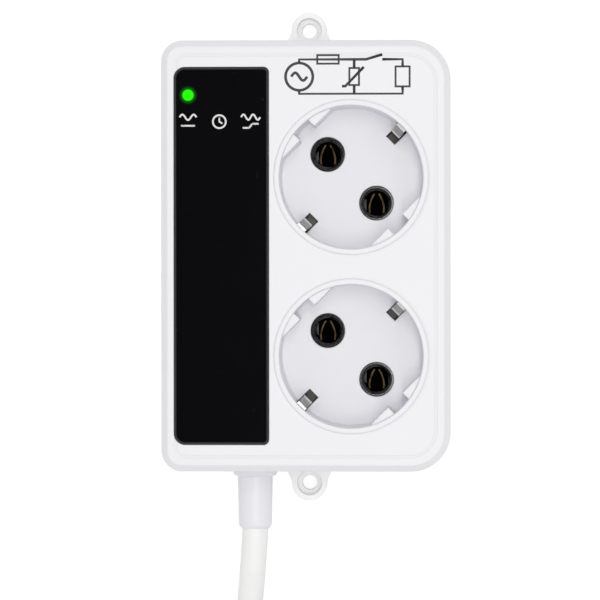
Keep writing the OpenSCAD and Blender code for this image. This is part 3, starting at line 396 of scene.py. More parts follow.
def hook_strap(name, color):
    """Hook and loop tape: a felt of small loops on a woven ground."""
    finish = Finish(name)
    place = finish.place()
    loops = finish.add("TexVoronoi", {"feature": "F1"}, {"Vector": place, "Scale": 2.6})
    fuzz = finish.noise(place, scale=7.0, detail=3.0, rough=0.7)
    ground = finish.noise(finish.finer(place, (1.0, 4.0, 1.0)), scale=1.6)
    tone = (loops * 0.6 + fuzz * 0.5).clamped()
    felt = loops * 0.6 + fuzz * 0.3 + ground * 0.2
    return finish.surface(
        Base_Color=finish.blend(tone, shaded(color, 0.55), shaded(color, 1.7)),
        Roughness=fuzz * 0.1 + 0.82,
        Sheen_Weight=0.35,
        Sheen_Roughness=0.5,
        Normal=finish.bump(felt, depth=0.25, strength=0.9),
    )


def glass_laminate(name, color):
    """Circuit board: a solder mask over copper lanes, with a faint weave."""
    finish = Finish(name)
    place = finish.place()
    lanes = finish.add(
        "TexBrick",
        {"offset": 0.37, "squash": 1.6, "squash_frequency": 3},
        {"Vector": place, "Scale": 0.22, "Mortar Size": 0.035,
         "Color1": (1.0, 1.0, 1.0), "Color2": (0.6, 0.6, 0.6), "Mortar": (0.0, 0.0, 0.0)},
        output="Fac",
    )
    weave = finish.noise(finish.finer(place, (5.0, 1.0, 1.0)), scale=3.0)
    lifted = finish.blend(lanes, shaded(color, 1.5), color)
    return finish.surface(
        Base_Color=finish.blend(weave * 0.4, lifted, shaded(color, 0.7)),
        Roughness=weave.swing(0.15) + 0.32,
        Coat_Weight=0.3,
        Normal=finish.bump(lanes * 0.7 + weave * 0.3, depth=0.04, strength=0.7),
    )


def cast_case(name, color, rough, ends=None):
    """A component's moulded or dipped case.

    Where it has end caps, ends is the axis that they lie along, the middle between them, how far
    from it they start, and their colour.
    """
    finish = Finish(name)
    place = finish.place()
    skin = finish.noise(place, scale=3.0, detail=3.0)
    drift = finish.noise(place, scale=0.3)
    base = finish.blend(drift, color, shaded(color, 0.82))
    if ends:
        letter, middle, start, cap_color = ends
        off = abs(finish.axis(place, letter) - middle)
        base = finish.blend(off.fade(start - 0.1, start + 0.1), base, cap_color)
    return finish.surface(
        Base_Color=base,
        Roughness=skin.swing(0.12) + rough,
        Normal=finish.bump(skin, depth=0.02, strength=0.6),
    )


def printed_ink(name, color):
    """Screen-printed ink: slightly matt, with a pin-hole grain."""
    finish = Finish(name)
    grains = finish.noise(finish.place(), scale=12.0)
    return finish.surface(
        Base_Color=finish.blend(grains * 0.3, color, shaded(color, 0.8)),
        Roughness=grains.swing(0.2) + 0.5,
        Normal=finish.bump(grains, depth=0.006, strength=0.6),
    )


def dress(material, *names):
    """Gives the named solids that material all over."""
    for name in names:
        slots = NODES[name].data.materials
        slots.clear()
        slots.append(material)


# Meshes

def new_object(name, data):
    """Puts an object with that data in the scene, at the origin."""
    made = bpy.data.objects.new(name, data)
    bpy.context.scene.collection.objects.link(made)
    return made


def new_mesh(name, shape):
    """Makes a mesh of the shape, and frees the shape."""
    mesh = bpy.data.meshes.new(name)
    shape.to_mesh(mesh)
    shape.free()
    return mesh


def finish_mesh(name, mesh, material):
    """Makes an object of the mesh, which rides on the part."""
    piece = new_object(name, mesh)
    mesh.materials.clear()
    mesh.materials.append(material)
    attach(piece, "root")
    return piece


def ring_points(middle, radius, count=40):
    turns = [math.tau * k / count for k in range(count)]
    return [
        (middle[0] + radius * math.cos(turn), middle[1] + radius * math.sin(turn)) for turn in turns
    ]


def box_points(middle, half_width, half_height):
    x, y = middle
    left, right, low, high = x - half_width, x + half_width, y - half_height, y + half_height
    return [(left, low), (right, low), (right, high), (left, high)]


def wave_points(middle, length, height, turns=1.0, count=28):
    shares = [k / count for k in range(count + 1)]
    return [
        (middle[0] + length * (share - 0.5),
         middle[1] + height / 2 * math.sin(math.tau * turns * share))
        for share in shares
    ]


def printed_strokes(name, strokes, width, level, material):
    """Raised ink lines at one level. A stroke is its points, and whether it closes on itself."""
    line = bpy.data.curves.new(name, "CURVE")
    line.dimensions = "3D"
    line.bevel_depth = width / 2
    line.bevel_resolution = 3
    line.use_fill_caps = True
    for points, closed in strokes:
        spline = line.splines.new("POLY")
        spline.points.add(len(points) - 1)
        for point, (x, y) in zip(spline.points, points):
            point.co = (x, y, 0.0, 1.0)
        spline.use_cyclic_u = closed
    carrier = new_object(name, line)
    bpy.context.view_layer.update()
    shown = carrier.evaluated_get(bpy.context.evaluated_depsgraph_get())
    drawn = bpy.data.meshes.new_from_object(shown)
    bpy.data.objects.remove(carrier)
    bpy.data.curves.remove(line)
    shape = bmesh.new()
    shape.from_mesh(drawn)
    bpy.data.meshes.remove(drawn)
    bmesh.ops.remove_doubles(shape, verts=shape.verts, dist=width / 1000)
    bmesh.ops.scale(shape, vec=(1.0, 1.0, 2 * INK_FILM / width), verts=shape.verts)
    bmesh.ops.translate(shape, vec=(0.0, 0.0, level), verts=shape.verts)
    bmesh.ops.scale(shape, vec=(MM, MM, MM), verts=shape.verts)
    bmesh.ops.recalc_face_normals(shape, faces=shape.faces)
    return finish_mesh(name, new_mesh(name, shape), material)


# The cord's route, as the solids have it

GLAND_END = Vector((-15.0, -75.85, 12.0))
RUN_DROP = GLAND_END.z - CORD_WIDTH / 2    # from the gland's end down to the floor
RUN_POINTS = [                             # from the gland's end, with z in shares of that drop
    (0, 0, 0), (-0.2, -4, 0), (-0.8, -12, -0.13), (-1.6, -20, -0.5), (-2.6, -28.5, -0.88),
    (-3.35, -34, -0.99), (-4.1, -38, -1),
]
TURN_ANGLE = 168.0                         # where on the coil's circle the cord joins it
COIL_LEAD = 27.0                           # the straight stretch before and after the coil
LEAD_IN_SHARES = (0.35, 0.7)               # where that stretch has its points
LEAD_OUT_SHARES = (0.3, 0.65)
COIL_MIDDLE_RADIUS = 40.0
LAPS = 5
LAP_STEP = 12                              # degrees between the coil's points
SEATS = ((1, 0), (0, 0), (-1, 0), (-1, 1), (0, 1), (1, 1))  # widths outwards, and layers up
CHANGES = (438.0, 798.0, 1068.0, 1338.0, 1698.0)            # the angles where it leaves a seat
CHANGE_SPAN = 90.0                         # degrees that it takes to the next
UPPER_LEVEL = 1.5 * CORD_WIDTH             # the middle of the upper layer
PLUG_LEVEL = 16.5                          # the cord's middle at the plug
TAIL_POINTS = [                            # from the second lead, with z in shares of that climb
    (0, 0, 0), (-1, -5, 0), (-2.6, -13, 0.1), (-1.9, -26, 0.35), (4, -39, 0.65), (14, -48.6, 0.9),
    (26, -53.6, 1), (34, -54, 1),
]
TIE_ANGLE = 15.0                           # where on the coil the strap lies
TIE_THICKNESS = 0.9
TIE_WIDTH = 11.0
TIE_CORNER = 3.0                           # its outer radius where it turns round the strands
TIE_REACH = 9.0                            # degrees beside its middle that the cord stays lifted
TIE_SLOPE = 24.0                           # and over which the cord then comes down


def through(points, steps):
    """A smooth line through the points."""
    ends = [2 * points[0] - points[1], *points, 2 * points[-1] - points[-2]]
    line = []
    for before, start, end, after in zip(ends, ends[1:], ends[2:], ends[3:]):
        bend = 2 * before - 5 * start + 4 * end - after
        twist = 3 * start - before - 3 * end + after
        for t in (k / steps for k in range(steps)):
            line.append(0.5 * (2 * start + (end - before) * t + bend * t * t + twist * t ** 3))
    return [*line, points[-1]]


def eased(t):
    """Goes from 0 at t = 0 to 1 at t = 1 with soft ends, and stays level outside."""
    t = min(max(t, 0.0), 1.0)
    return 2 * t * t if t < 0.5 else 1 - 2 * (1 - t) ** 2


def coil_place(angle, middle):
    """Where the strand lies at that angle, counted on through the laps."""
    seat_out, seat_up = SEATS[0]
    for start, (next_out, next_up), (last_out, last_up) in zip(CHANGES, SEATS[1:], SEATS):
        share = eased((angle - start) / CHANGE_SPAN)
        seat_out += share * (next_out - last_out)
        seat_up += share * (next_up - last_up)
    radius = COIL_MIDDLE_RADIUS + seat_out * CORD_WIDTH
    from_tie = abs((angle - TIE_ANGLE + 180) % 360 - 180)
    lift = TIE_THICKNESS * (1 - eased((from_tie - TIE_REACH) / TIE_SLOPE))
    around = math.radians(angle)
    return Vector((
        middle.x + radius * math.cos(around),
        middle.y + radius * math.sin(around),
        CORD_WIDTH * (0.5 + seat_up) + lift,
    ))


def cord_route():
    """The whole free cord from the gland to the plug, and the middle of its coil."""
    run = [GLAND_END + Vector((x, y, z * RUN_DROP)) for x, y, z in RUN_POINTS]
    around = math.radians(TURN_ANGLE)
    outwards = Vector((math.cos(around), math.sin(around), 0.0))
    onwards = Vector((-outwards.y, outwards.x, 0.0))
    touch = run[-1] + COIL_LEAD * onwards
    middle = touch - (COIL_MIDDLE_RADIUS + CORD_WIDTH) * outwards
    angles = range(0, 360 * LAPS + 1, LAP_STEP)
    coil = [coil_place(TURN_ANGLE + angle, middle) for angle in angles]
    tail_start = Vector((touch.x, touch.y, UPPER_LEVEL)) + COIL_LEAD * onwards
    climb = PLUG_LEVEL - UPPER_LEVEL
    tail = [tail_start + Vector((x, y, z * climb)) for x, y, z in TAIL_POINTS]
    lead_in = [run[-1].lerp(touch, share) for share in LEAD_IN_SHARES]
    lead_out = [coil[-1].lerp(tail_start, share) for share in LEAD_OUT_SHARES]
    return [*through(run, 2), *lead_in, *coil, *lead_out, *through(tail, 2)], middle


# Settings

class StageSettings(bpy.types.PropertyGroup):
    floor_color: bpy.props.FloatVectorProperty(
        name="Floor colour", description="Colour of the studio floor", subtype="COLOR", size=3,
        default=(0.9, 0.9, 0.9), min=0.0, max=1.0,
    )
    surround: bpy.props.FloatProperty(
        name="Surround", description="Level of the even light from all round", default=0.635,
        min=0.0, max=2.0,
    )
    surround_tint: bpy.props.FloatVectorProperty(
        name="Surround tint", description="Tint of the even light", subtype="COLOR", size=3,
        default=(1.0, 0.995, 0.99), min=0.0, max=2.0,
    )
    key_power: bpy.props.FloatProperty(
        name="Key power", description="Power of the long soft lamp over the part", default=10.75,
        min=0.0, max=100.0, subtype="POWER",
    )
    fill_power: bpy.props.FloatProperty(
        name="Fill power", description="Power of the soft lamp on the right", default=1.9,
        min=0.0, max=100.0, subtype="POWER",
    )
    lamp_tint: bpy.props.FloatVectorProperty(
        name="Lamp tint", description="Tint of both lamps", subtype="COLOR", size=3,
        default=(1.04, 1.01, 0.95), min=0.0, max=2.0,
    )
    camera_height: bpy.props.FloatProperty(
        name="Camera height", description="Height of the camera above the floor", default=0.9885,
        min=0.3, max=5.0, subtype="DISTANCE", unit="LENGTH",
    )
    lens: bpy.props.FloatProperty(
        name="Lens", description="Focal length of the camera in millimetres", default=209.7,
        min=20.0, max=400.0,
    )


class HousingSettings(bpy.types.PropertyGroup):
    cover_color: bpy.props.FloatVectorProperty(
        name="Cover colour", description="Colour of the covers' plastic", subtype="COLOR", size=3,
        default=(0.864, 0.872, 0.92), min=0.0, max=1.0,
    )
    cover_roughness: bpy.props.FloatProperty(
        name="Cover roughness", description="How matt the covers are", default=0.42,
        min=0.1, max=1.0, subtype="FACTOR",
    )
    cover_grain: bpy.props.FloatProperty(
        name="Cover grain", description="Depth of the moulded grain in millimetres",
        default=0.012, min=0.0, max=0.1,
    )
    sign_color: bpy.props.FloatVectorProperty(
        name="Sign colour", description="Colour of the sign printed on the face",
        subtype="COLOR", size=3, default=(0.012, 0.012, 0.014), min=0.0, max=1.0,
    )
    sign_line: bpy.props.FloatProperty(
        name="Sign line", description="Width of the sign's lines in millimetres",
        default=0.75, min=0.2, max=2.0,
    )


class WindowSettings(bpy.types.PropertyGroup):
    window_color: bpy.props.FloatVectorProperty(
        name="Window colour", description="Colour of the acrylic window", subtype="COLOR", size=3,
        default=(0.0035, 0.0035, 0.0045), min=0.0, max=1.0,
    )
    # The lamp's colour, width and glow set the glow painted on the window's face.
    lamp_color: bpy.props.FloatVectorProperty(
        name="Lamp colour", description="Colour of the lit lamp", subtype="COLOR", size=3,
        default=(0.018, 1.0, 0.0), min=0.0, max=1.0,
    )
    lamp_width: bpy.props.FloatProperty(
        name="Lamp width", description="Width of the lit disc in millimetres", default=3.1,
        min=1.0, max=6.0,
    )
    lamp_glow: bpy.props.FloatProperty(
        name="Lamp glow", description="Strength of the lit lamp", default=1.0, min=0.0, max=10.0,
    )
    ink_color: bpy.props.FloatVectorProperty(
        name="Ink colour", description="Colour of the small signs on the window",
        subtype="COLOR", size=3, default=(0.8, 0.8, 0.8), min=0.0, max=1.0,
    )
    ink_line: bpy.props.FloatProperty(
        name="Ink line", description="Width of the small signs' lines in millimetres",
        default=0.5, min=0.1, max=1.0,
    )


class OutletSettings(bpy.types.PropertyGroup):
    carrier_color: bpy.props.FloatVectorProperty(
        name="Carrier colour", description="Colour of the contact carriers", subtype="COLOR",
        size=3, default=(0.006, 0.006, 0.007), min=0.0, max=1.0,
    )
    brass_color: bpy.props.FloatVectorProperty(
        name="Brass colour", description="Colour of the contact bars", subtype="COLOR", size=3,
        default=(0.05, 0.036, 0.018), min=0.0, max=1.0,
    )
    spring_color: bpy.props.FloatVectorProperty(
        name="Spring colour", description="Colour of the earth springs", subtype="COLOR", size=3,
        default=(0.78, 0.76, 0.76), min=0.0, max=1.0,
    )


class CordSettings(bpy.types.PropertyGroup):
    jacket_color: bpy.props.FloatVectorProperty(
        name="Jacket colour", description="Colour of the cord's jacket", subtype="COLOR", size=3,
        default=(0.95, 0.96, 0.97), min=0.0, max=1.0,
    )
    plug_color: bpy.props.FloatVectorProperty(
        name="Plug colour", description="Colour of the moulded plug", subtype="COLOR", size=3,
        default=(0.92, 0.925, 0.94), min=0.0, max=1.0,
    )
    tie_color: bpy.props.FloatVectorProperty(
        name="Tie colour", description="Colour of the strap round the coil", subtype="COLOR",
        size=3, default=(0.02, 0.02, 0.022), min=0.0, max=1.0,
    )
    cord_length: bpy.props.FloatProperty(
        name="Cord length", description="Length of the cord between the gland and the plug",
        default=1.43, min=0.5, max=5.0, subtype="DISTANCE", unit="LENGTH",
    )


SETTING_GROUPS = {
    "protector_stage": StageSettings,
    "protector_housing": HousingSettings,
    "protector_window": WindowSettings,
    "protector_outlets": OutletSettings,
    "protector_cord": CordSettings,
}


# The studio, in metres

CAMERA_PLACE = (0.029, -0.006)               # its height is a setting
CAMERA_AIM = Vector((-0.0015, -0.01194, 0.0425))
CAMERA_ROLL = math.radians(-0.04)
FLOOR_HALF, FLOOR_PLACE = (12.0, 12.0), (0.0, 0.0, -0.00005)     # just under the part's back
FLOOR_GLOW = 0.78                            # what the floor shows of itself where it is seen
FLOOR_SHADED = 0.36                          # and the share of its colour that takes shadows
CARD_HALF, CARD_PLACE = (0.21, 0.3), (-0.165, 0.015, 2.6)
KEY_SIZE, KEY_PLACE = (1.2, 0.2), (0.11, 0.0, 1.95)
FILL_SIZE, FILL_PLACE = (2.6, 0.3), (0.8, 0.0, 1.95)
LAMP_AIM = Vector((0.0, 0.0, 0.03))


# Operators

class PROTECTOR_OT_stage(bpy.types.Operator):
    """Adds the pale floor, the even surround, the soft lamps and the camera"""

    bl_idname = "protector.stage"
    bl_label = "Studio and camera"

    def execute(self, context):
        settings = context.scene.protector_stage
        self.add_camera(context, settings)
        self.add_floor(settings)
        self.add_surround(context, settings)
        self.add_card()
        tint = tuple(settings.lamp_tint)
        self.add_lamp("key_lamp", KEY_PLACE, KEY_SIZE, settings.key_power, tint)
        self.add_lamp("fill_lamp", FILL_PLACE, FILL_SIZE, settings.fill_power, tint)
        context.scene.view_settings.view_transform = "Standard"
        return {"FINISHED"}

    def add_camera(self, context, settings):
        data = bpy.data.cameras.new("camera")
        data.lens = settings.lens
        data.sensor_width = 36.0
        data.clip_start = 0.05
        data.clip_end = 50.0
        camera = new_object("camera", data)
        place = Vector((*CAMERA_PLACE, settings.camera_height))
        look = (CAMERA_AIM - place).normalized()
        right = look.cross(Vector((0.0, 1.0, 0.0))).normalized()
        level = Matrix((right, right.cross(look), -look)).transposed()
        turn = level @ Matrix.Rotation(CAMERA_ROLL, 3, "Z")
        camera.matrix_world = Matrix.Translation(place) @ turn.to_4x4()
        context.scene.camera = camera

    def add_sheet(self, name, half, place, material):
        """A flat sheet, by half its width and half its depth."""
        shape = bmesh.new()
        bmesh.ops.create_grid(shape, x_segments=1, y_segments=1, size=1.0)
        bmesh.ops.scale(shape, vec=(*half, 1.0), verts=shape.verts)
        bmesh.ops.translate(shape, vec=place, verts=shape.verts)
        mesh = new_mesh(name, shape)
        mesh.materials.append(material)
        return new_object(name, mesh)

    def add_floor(self, settings):
        """The floor, which shows white where it is seen and still takes the part's shadow."""
        color = tuple(settings.floor_color)
        finish = Finish("floor_paper")
        fibres = finish.noise(finish.place(), scale=0.8, detail=4.0)
        paper = finish.blend(fibres * 0.15, color, shaded(color, 0.97))
        dull = finish.add("BsdfDiffuse", inputs={"Color": paper})
        plain = finish.add("BsdfDiffuse", inputs={"Color": shaded(color, FLOOR_SHADED)})
        lit = finish.add("Emission", inputs={"Color": (1.0, 1.0, 1.0), "Strength": FLOOR_GLOW})
        seen = finish.add("AddShader", inputs={0: plain, 1: lit})
        mixed = finish.add("MixShader", inputs={0: finish.backdrop(), 1: dull, 2: seen})
        floor = self.add_sheet("floor", FLOOR_HALF, FLOOR_PLACE, finish.end(mixed))

    def add_card(self):
        """A dark card high above, which the polished window mirrors."""
        finish = Finish("card_felt")
        nap = finish.noise(finish.place(), scale=0.02, detail=3.0)
        felt = finish.surface(
            Base_Color=finish.blend(nap, (0.006, 0.006, 0.007), (0.012, 0.012, 0.013)),
            Roughness=0.95,
            Specular_IOR_Level=0.1,
        )
        card = self.add_sheet("dark_card", CARD_HALF, CARD_PLACE, felt)

    def add_surround(self, context, settings):
        """Even light from all round, which is white where it is seen."""
        world = bpy.data.worlds.new("surround")
        context.scene.world = world
        nodes = Nodes(world)
        tint = tuple(settings.surround_tint)
        even = nodes.add("Background", inputs={"Color": tint, "Strength": settings.surround})
        white = nodes.add("Background", inputs={"Color": (1.0, 1.0, 1.0), "Strength": 1.0})
        mixed = nodes.add("MixShader", inputs={0: nodes.backdrop(), 1: even, 2: white})
        nodes.add("OutputWorld", inputs={"Surface": mixed})

    def add_lamp(self, name, place, size, power, tint):
        """A soft box that looks at the part, with its first size along the part's length."""
        data = bpy.data.lights.new(name, "AREA")
        data.shape = "RECTANGLE"
        data.size, data.size_y = size
        data.energy = power
        data.color = tint
        lamp = new_object(name, data)
        lamp.location = place
        lamp.rotation_mode = "QUATERNION"
        lamp.rotation_quaternion = (LAMP_AIM - Vector(place)).to_track_quat("-Z", "Y")


class PROTECTOR_OT_cord(bpy.types.Operator):
    """Lays the cord from the gland through its coil to the plug"""

    bl_idname = "protector.cord"
    bl_label = "Cord"

    def execute(self, context):
        settings = context.scene.protector_cord
        color = tuple(settings.jacket_color)
        route, _ = cord_route()
        line = bpy.data.curves.new("cord", "CURVE")
        line.dimensions = "3D"
        line.bevel_depth = CORD_WIDTH / 2 * MM
        line.bevel_resolution = 6
        line.resolution_u = 5
        spline = line.splines.new("BEZIER")
        spline.bezier_points.add(len(route) - 1)
        for point, place in zip(spline.bezier_points, route):
            point.co = place * MM
            point.handle_left_type = "AUTO"
            point.handle_right_type = "AUTO"
        cord = new_object("cord", line)
        line.materials.append(soft_jacket("cord_jacket", color))
        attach(cord, "root")
        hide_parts("cord_run", "cord_coil", "cord_tail")
        jacket = soft_jacket("inner_jacket", color)
        dress(jacket, "cord_inner_end", "cord_run", "cord_coil", "cord_tail")
        return {"FINISHED"}


class PROTECTOR_OT_tie(bpy.types.Operator):
    """Wraps the strap round the coil"""

    bl_idname = "protector.tie"
    bl_label = "Coil tie"

    def execute(self, context):
        settings = context.scene.protector_cord
        _, middle = cord_route()
        rows = 4
        shape = bmesh.new()
        rim = [shape.verts.new((x, -TIE_WIDTH / 2, z)) for x, z in self.outline()]
        edges = [shape.edges.new((a, b)) for a, b in zip(rim, rim[1:] + rim[:1])]
        for _ in range(rows):
            made = bmesh.ops.extrude_edge_only(shape, edges=edges)["geom"]
            verts = [item for item in made if isinstance(item, bmesh.types.BMVert)]
            edges = [item for item in made if isinstance(item, bmesh.types.BMEdge)]
            bmesh.ops.translate(shape, vec=(0.0, TIE_WIDTH / rows, 0.0), verts=verts)
        bmesh.ops.recalc_face_normals(shape, faces=shape.faces)
        bmesh.ops.solidify(shape, geom=shape.faces[:], thickness=TIE_THICKNESS)
        for vert in shape.verts:
            reach = COIL_MIDDLE_RADIUS + vert.co.x
            turn = math.radians(TIE_ANGLE) + vert.co.y / COIL_MIDDLE_RADIUS
            vert.co.x = middle.x + reach * math.cos(turn)
            vert.co.y = middle.y + reach * math.sin(turn)
        bmesh.ops.scale(shape, vec=(MM, MM, MM), verts=shape.verts)
        bmesh.ops.recalc_face_normals(shape, faces=shape.faces)
        mesh = new_mesh("strap", shape)
        mesh.shade_smooth()
        tape = hook_strap("strap_tape", tuple(settings.tie_color))
        strap = finish_mesh("strap", mesh, tape)
        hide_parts("coil_tie")
        dress(tape, "coil_tie")
        return {"FINISHED"}

    def outline(self):
        """The strap's outer side, round three strands by two, with its foot at z = 0."""
        right = 1.5 * CORD_WIDTH + TIE_THICKNESS - TIE_CORNER
        low, high = TIE_CORNER, 2 * (CORD_WIDTH + TIE_THICKNESS) - TIE_CORNER
        corners = ((right, low, -90), (right, high, 0), (-right, high, 90), (-right, low, 180))
        turns = (0, 15, 30, 45, 60, 75, 90)
        points = []
        for x, z, start in corners:
            for turn in turns:
                around = math.radians(start + turn)
                out, up = TIE_CORNER * math.cos(around), TIE_CORNER * math.sin(around)
                points.append((x + out, z + up))
        return points


class PROTECTOR_OT_gland(bpy.types.Operator):
    """Finishes the gland and the clamp behind it"""

    bl_idname = "protector.gland"
    bl_label = "Gland and clamp"

    def execute(self, context):
        color = tuple(context.scene.protector_housing.cover_color)
        dress(soft_jacket("gland_vinyl", color, rough=0.4), "cord_gland")
        dress(moulded_plastic("clamp_nylon", shaded(color, 0.96), rough=0.5), "cord_clamp")
        return {"FINISHED"}


class PROTECTOR_OT_plug(bpy.types.Operator):
    """Finishes the plug, its pins and its earth strips"""

    bl_idname = "protector.plug"
    bl_label = "Plug"

    def execute(self, context):
        color = tuple(context.scene.protector_cord.plug_color)
        dress(moulded_plastic("plug_vinyl", color, rough=0.4), "plug_body")
        nickel = plated_metal("pin_nickel", (0.66, 0.63, 0.58), rough=0.2)
        dress(nickel, "plug_pins", "plug_earth_strips")
        return {"FINISHED"}


class PROTECTOR_OT_housing(bpy.types.Operator):
    """Finishes the two covers, the back one a little duller and coarser"""

    bl_idname = "protector.housing"
    bl_label = "Covers"

    def execute(self, context):
        settings = context.scene.protector_housing
        color = tuple(settings.cover_color)
        rough, grain = settings.cover_roughness, settings.cover_grain
        dress(housing_plastic("front_plastic", color, rough, grain), "front_cover")
        back = housing_plastic("back_plastic", shaded(color, 0.985), rough + 0.06, grain * 1.4)
        dress(back, "back_cover")
        return {"FINISHED"}


class PROTECTOR_OT_window(bpy.types.Operator):
    """Finishes the window, with the lit lamp's light painted on it as a glow, and the lamps behind
    it
    """

    bl_idname = "protector.window"
    bl_label = "Window and lamps"

    def execute(self, context):
        settings = context.scene.protector_window
        acrylic = window_acrylic(
            "window_acrylic", tuple(settings.window_color), tuple(settings.lamp_color),
            LIGHT_PLACES["light_normal"], settings.lamp_glow, settings.lamp_width,
        )
        dress(acrylic, "indicator_window")
        dress(lamp_plastic("lamp_green", (0.05, 0.75, 0.1), glow=2.0), "light_normal")
        dress(lamp_plastic("lamp_amber", (0.75, 0.5, 0.05), glow=0.0), "light_delay")
        dress(lamp_plastic("lamp_red", (0.7, 0.04, 0.03), glow=0.0), "light_fault")
        return {"FINISHED"}


class PROTECTOR_OT_window_signs(bpy.types.Operator):
    """Prints the small plain signs under the lamps"""

    bl_idname = "protector.window_signs"
    bl_label = "Signs on the window"

    def execute(self, context):
        settings = context.scene.protector_window
        ink = printed_ink("white_ink", tuple(settings.ink_color))
        normal, delay, fault = (place.x for place in LIGHT_PLACES.values())
        wave_level, wave_height = 37.6, 1.5
        line_level, clock_level = 35.3, 36.4
        step_low, step_high = line_level - 0.6, line_level + 0.5
        signs = {
            "sign_normal": [
                (wave_points((normal, wave_level), 4.6, wave_height, turns=1.5), False),
                ([(normal - 1.9, line_level), (normal + 1.9, line_level)], False),
            ],
            "sign_delay": [
                (ring_points((delay, clock_level), 1.75), True),
                ([(delay, clock_level + 1.1), (delay, clock_level),
                  (delay + 0.85, clock_level - 0.5)], False),
            ],
            "sign_fault": [
                (wave_points((fault, wave_level), 5.2, wave_height, turns=2.0), False),
                ([(fault - 2.2, step_low), (fault - 0.4, step_low)], False),
                ([(fault + 0.4, step_high), (fault + 2.2, step_high)], False),
                ([(fault - 0.4, step_low), (fault + 0.4, step_high)], False),
            ],
        }
        for name, strokes in signs.items():
            printed_strokes(name, strokes, settings.ink_line, WINDOW_LEVEL, ink)
        return {"FINISHED"}


class PROTECTOR_OT_face_sign(bpy.types.Operator):
    """Prints a plain circuit sign above the upper outlet"""

    bl_idname = "protector.face_sign"
    bl_label = "Sign on the face"

    def execute(self, context):
        settings = context.scene.protector_housing
        ink = printed_ink("black_ink", tuple(settings.sign_color))
        high, low = 53.2, 43.9
        middle = (high + low) / 2
        source, fuse, branch, load = -1.7, 6.1, 13.2, 26.3
        ring = 3.7
        load_half, branch_half = 2.7, 2.3
        gap_left, gap_right, arm_lift = 16.4, 20.8, 1.3
        slash_low, slash_high = middle - 2.6, middle + 2.6
        strokes = [
            (ring_points((source, middle), ring), True),
            (wave_points((source, middle), 4.3, 2.1), False),
            ([(source, middle + ring), (source, high), (gap_left, high),
              (gap_right, high + arm_lift)], False),
            (box_points((fuse, high), 2.9, 1.15), True),
            ([(gap_right, high), (load, high), (load, middle + load_half)], False),
            (box_points((load, middle), 1.9, load_half), True),
            ([(load, middle - load_half), (load, low), (source, low),
              (source, middle - ring)], False),
            ([(branch, high), (branch, middle + branch_half)], False),
            (box_points((branch, middle), 1.3, branch_half), True),
            ([(branch, middle - branch_half), (branch, low)], False),
            ([(branch - 3.3, slash_low), (branch - 2.4, slash_low),
              (branch + 2.6, slash_high)], False),
        ]
        printed_strokes("face_sign", strokes, settings.sign_line, FACE_LEVEL, ink)
        return {"FINISHED"}


class PROTECTOR_OT_outlets(bpy.types.Operator):
    """Finishes the contact carriers, the brass bars and the earth springs"""

    bl_idname = "protector.outlets"
    bl_label = "Outlets"

    def execute(self, context):
        settings = context.scene.protector_outlets
        black = moulded_plastic(
            "carrier_plastic", tuple(settings.carrier_color),
            rough=0.08, grain=0.002, tint=0.7, spread=0.4,
        )
        dress(black, "contact_carrier_upper", "contact_carrier_lower")
        # Painted shade: the bars fade to near black below their tops, for the shade deep in the
        # carriers' bores.
        brass = stamped_metal(
            "bar_brass", tuple(settings.brass_color), rough=0.38, top=node_box("live_bar")[1].z,
            painted_shading=[(-1.6, 0.01), (-0.1, 0.72)], lines=(10.0, 1.0, 10.0), tarnish=0.2,
        )
        dress(brass, "live_bar", "neutral_bar")
        # Painted light: the springs go dark under the recess floor as painted shade, carry a
        # painted highlight along the crest, and are painted darker on the top bend to tame its
        # glare.
        spring = stamped_metal(
            "spring_steel", tuple(settings.spring_color), rough=0.36,
            top=node_box("earth_bridge_upper")[1].z,
            painted_shading=[(-14.5, 0.05), (-10.0, 0.3), (-5.5, 0.85), (-4.2, 0.95), (-3.4, 0.5),
                   (-0.9, 0.45), (-0.4, 0.5)],
            lines=(1.0, 14.0, 14.0), tarnish=0.85,
        )
        dress(spring, "earth_bridge_upper", "earth_bridge_lower", "earth_link")
        return {"FINISHED"}


class PROTECTOR_OT_screws(bpy.types.Operator):
    """Finishes the screws"""

    bl_idname = "protector.screws"
    bl_label = "Screws"

    def execute(self, context):
        zinc = plated_metal("zinc_plate", (0.6, 0.6, 0.62), rough=0.28)
        dress(zinc, "housing_screws", "board_screws", "clamp_screws")
        return {"FINISHED"}


class PROTECTOR_OT_electronics(bpy.types.Operator):
    """Finishes the control board and what it carries"""

    bl_idname = "protector.electronics"
    bl_label = "Electronics"

    def execute(self, context):
        fuse_caps = ("X", node_middle("fuse").x, 6.4, (0.45, 0.45, 0.46))
        resistor_caps = ("Y", node_middle("resistors").y, 1.15, (0.6, 0.6, 0.6))
        dress(glass_laminate("board_laminate", (0.01, 0.09, 0.035)), "control_board")
        for name, color, rough, caps, *dressed in (
            ("relay_case", (0.02, 0.07, 0.3), 0.25, None, "relay"),
            ("film_case", (0.6, 0.4, 0.02), 0.35, None, "film_capacitor"),
            ("sleeve_film", (0.012, 0.012, 0.016), 0.28, None, "electrolytic_capacitor"),
            ("varistor_lacquer", (0.02, 0.08, 0.36), 0.22, None, "varistor"),
            ("fuse_body", (0.75, 0.72, 0.65), 0.2, fuse_caps, "fuse"),
            ("chip_case", (0.015, 0.015, 0.017), 0.45, None, "rectifier", "controller_chip"),
            ("resistor_body", (0.02, 0.02, 0.022), 0.4, resistor_caps, "resistors"),
            ("terminal_case", (0.02, 0.22, 0.06), 0.38, None, "terminal_blocks"),
        ):
            dress(cast_case(name, color, rough, caps), *dressed)
        return {"FINISHED"}


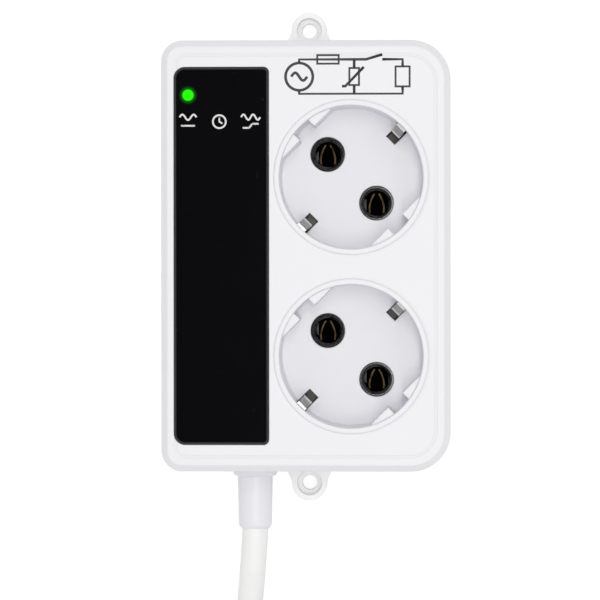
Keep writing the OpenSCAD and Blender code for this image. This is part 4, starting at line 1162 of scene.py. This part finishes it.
class PROTECTOR_OT_wires(bpy.types.Operator):
    """Finishes the wires inside the housing"""

    bl_idname = "protector.wires"
    bl_label = "Wires"

    def execute(self, context):
        brown = soft_jacket("wire_brown", (0.16, 0.055, 0.02), rough=0.35)
        blue = soft_jacket("wire_blue", (0.03, 0.13, 0.5), rough=0.35)
        dress(brown, "wire_live_in", "wire_live_out")
        dress(blue, "wire_neutral_in", "wire_neutral_out")
        dress(striped_jacket("wire_earth", (0.1, 0.35, 0.03), (0.75, 0.6, 0.02)), "wire_earth")
        return {"FINISHED"}


STEPS = (
    PROTECTOR_OT_stage,
    PROTECTOR_OT_cord,
    PROTECTOR_OT_tie,
    PROTECTOR_OT_gland,
    PROTECTOR_OT_plug,
    PROTECTOR_OT_housing,
    PROTECTOR_OT_window,
    PROTECTOR_OT_window_signs,
    PROTECTOR_OT_face_sign,
    PROTECTOR_OT_outlets,
    PROTECTOR_OT_screws,
    PROTECTOR_OT_electronics,
    PROTECTOR_OT_wires,
)


class PROTECTOR_PT_sidebar(bpy.types.Panel):
    """Lists the steps that dress the part"""

    bl_idname = "PROTECTOR_PT_sidebar"
    bl_label = "Voltage protector"
    bl_space_type = "VIEW_3D"
    bl_region_type = "UI"
    bl_category = "Protector"

    def draw(self, context):
        for group in SETTING_GROUPS:
            box = self.layout.box()
            settings = getattr(context.scene, group)
            for name in settings.bl_rna.properties.keys():
                if name not in ("rna_type", "name"):
                    box.prop(settings, name)
        for step in STEPS:
            self.layout.operator(step.bl_idname)


def register():
    for name, group in SETTING_GROUPS.items():
        bpy.utils.register_class(group)
        setattr(bpy.types.Scene, name, bpy.props.PointerProperty(type=group))
    for kind in (*STEPS, PROTECTOR_PT_sidebar):
        bpy.utils.register_class(kind)


def unregister():
    for kind in reversed((*STEPS, PROTECTOR_PT_sidebar)):
        bpy.utils.unregister_class(kind)
    for name, group in SETTING_GROUPS.items():
        delattr(bpy.types.Scene, name)
        bpy.utils.unregister_class(group)


def main():
    register()
    for step in STEPS:
        group, _, name = step.bl_idname.partition(".")
        getattr(getattr(bpy.ops, group), name)()


if __name__ == "__main__":
    main()
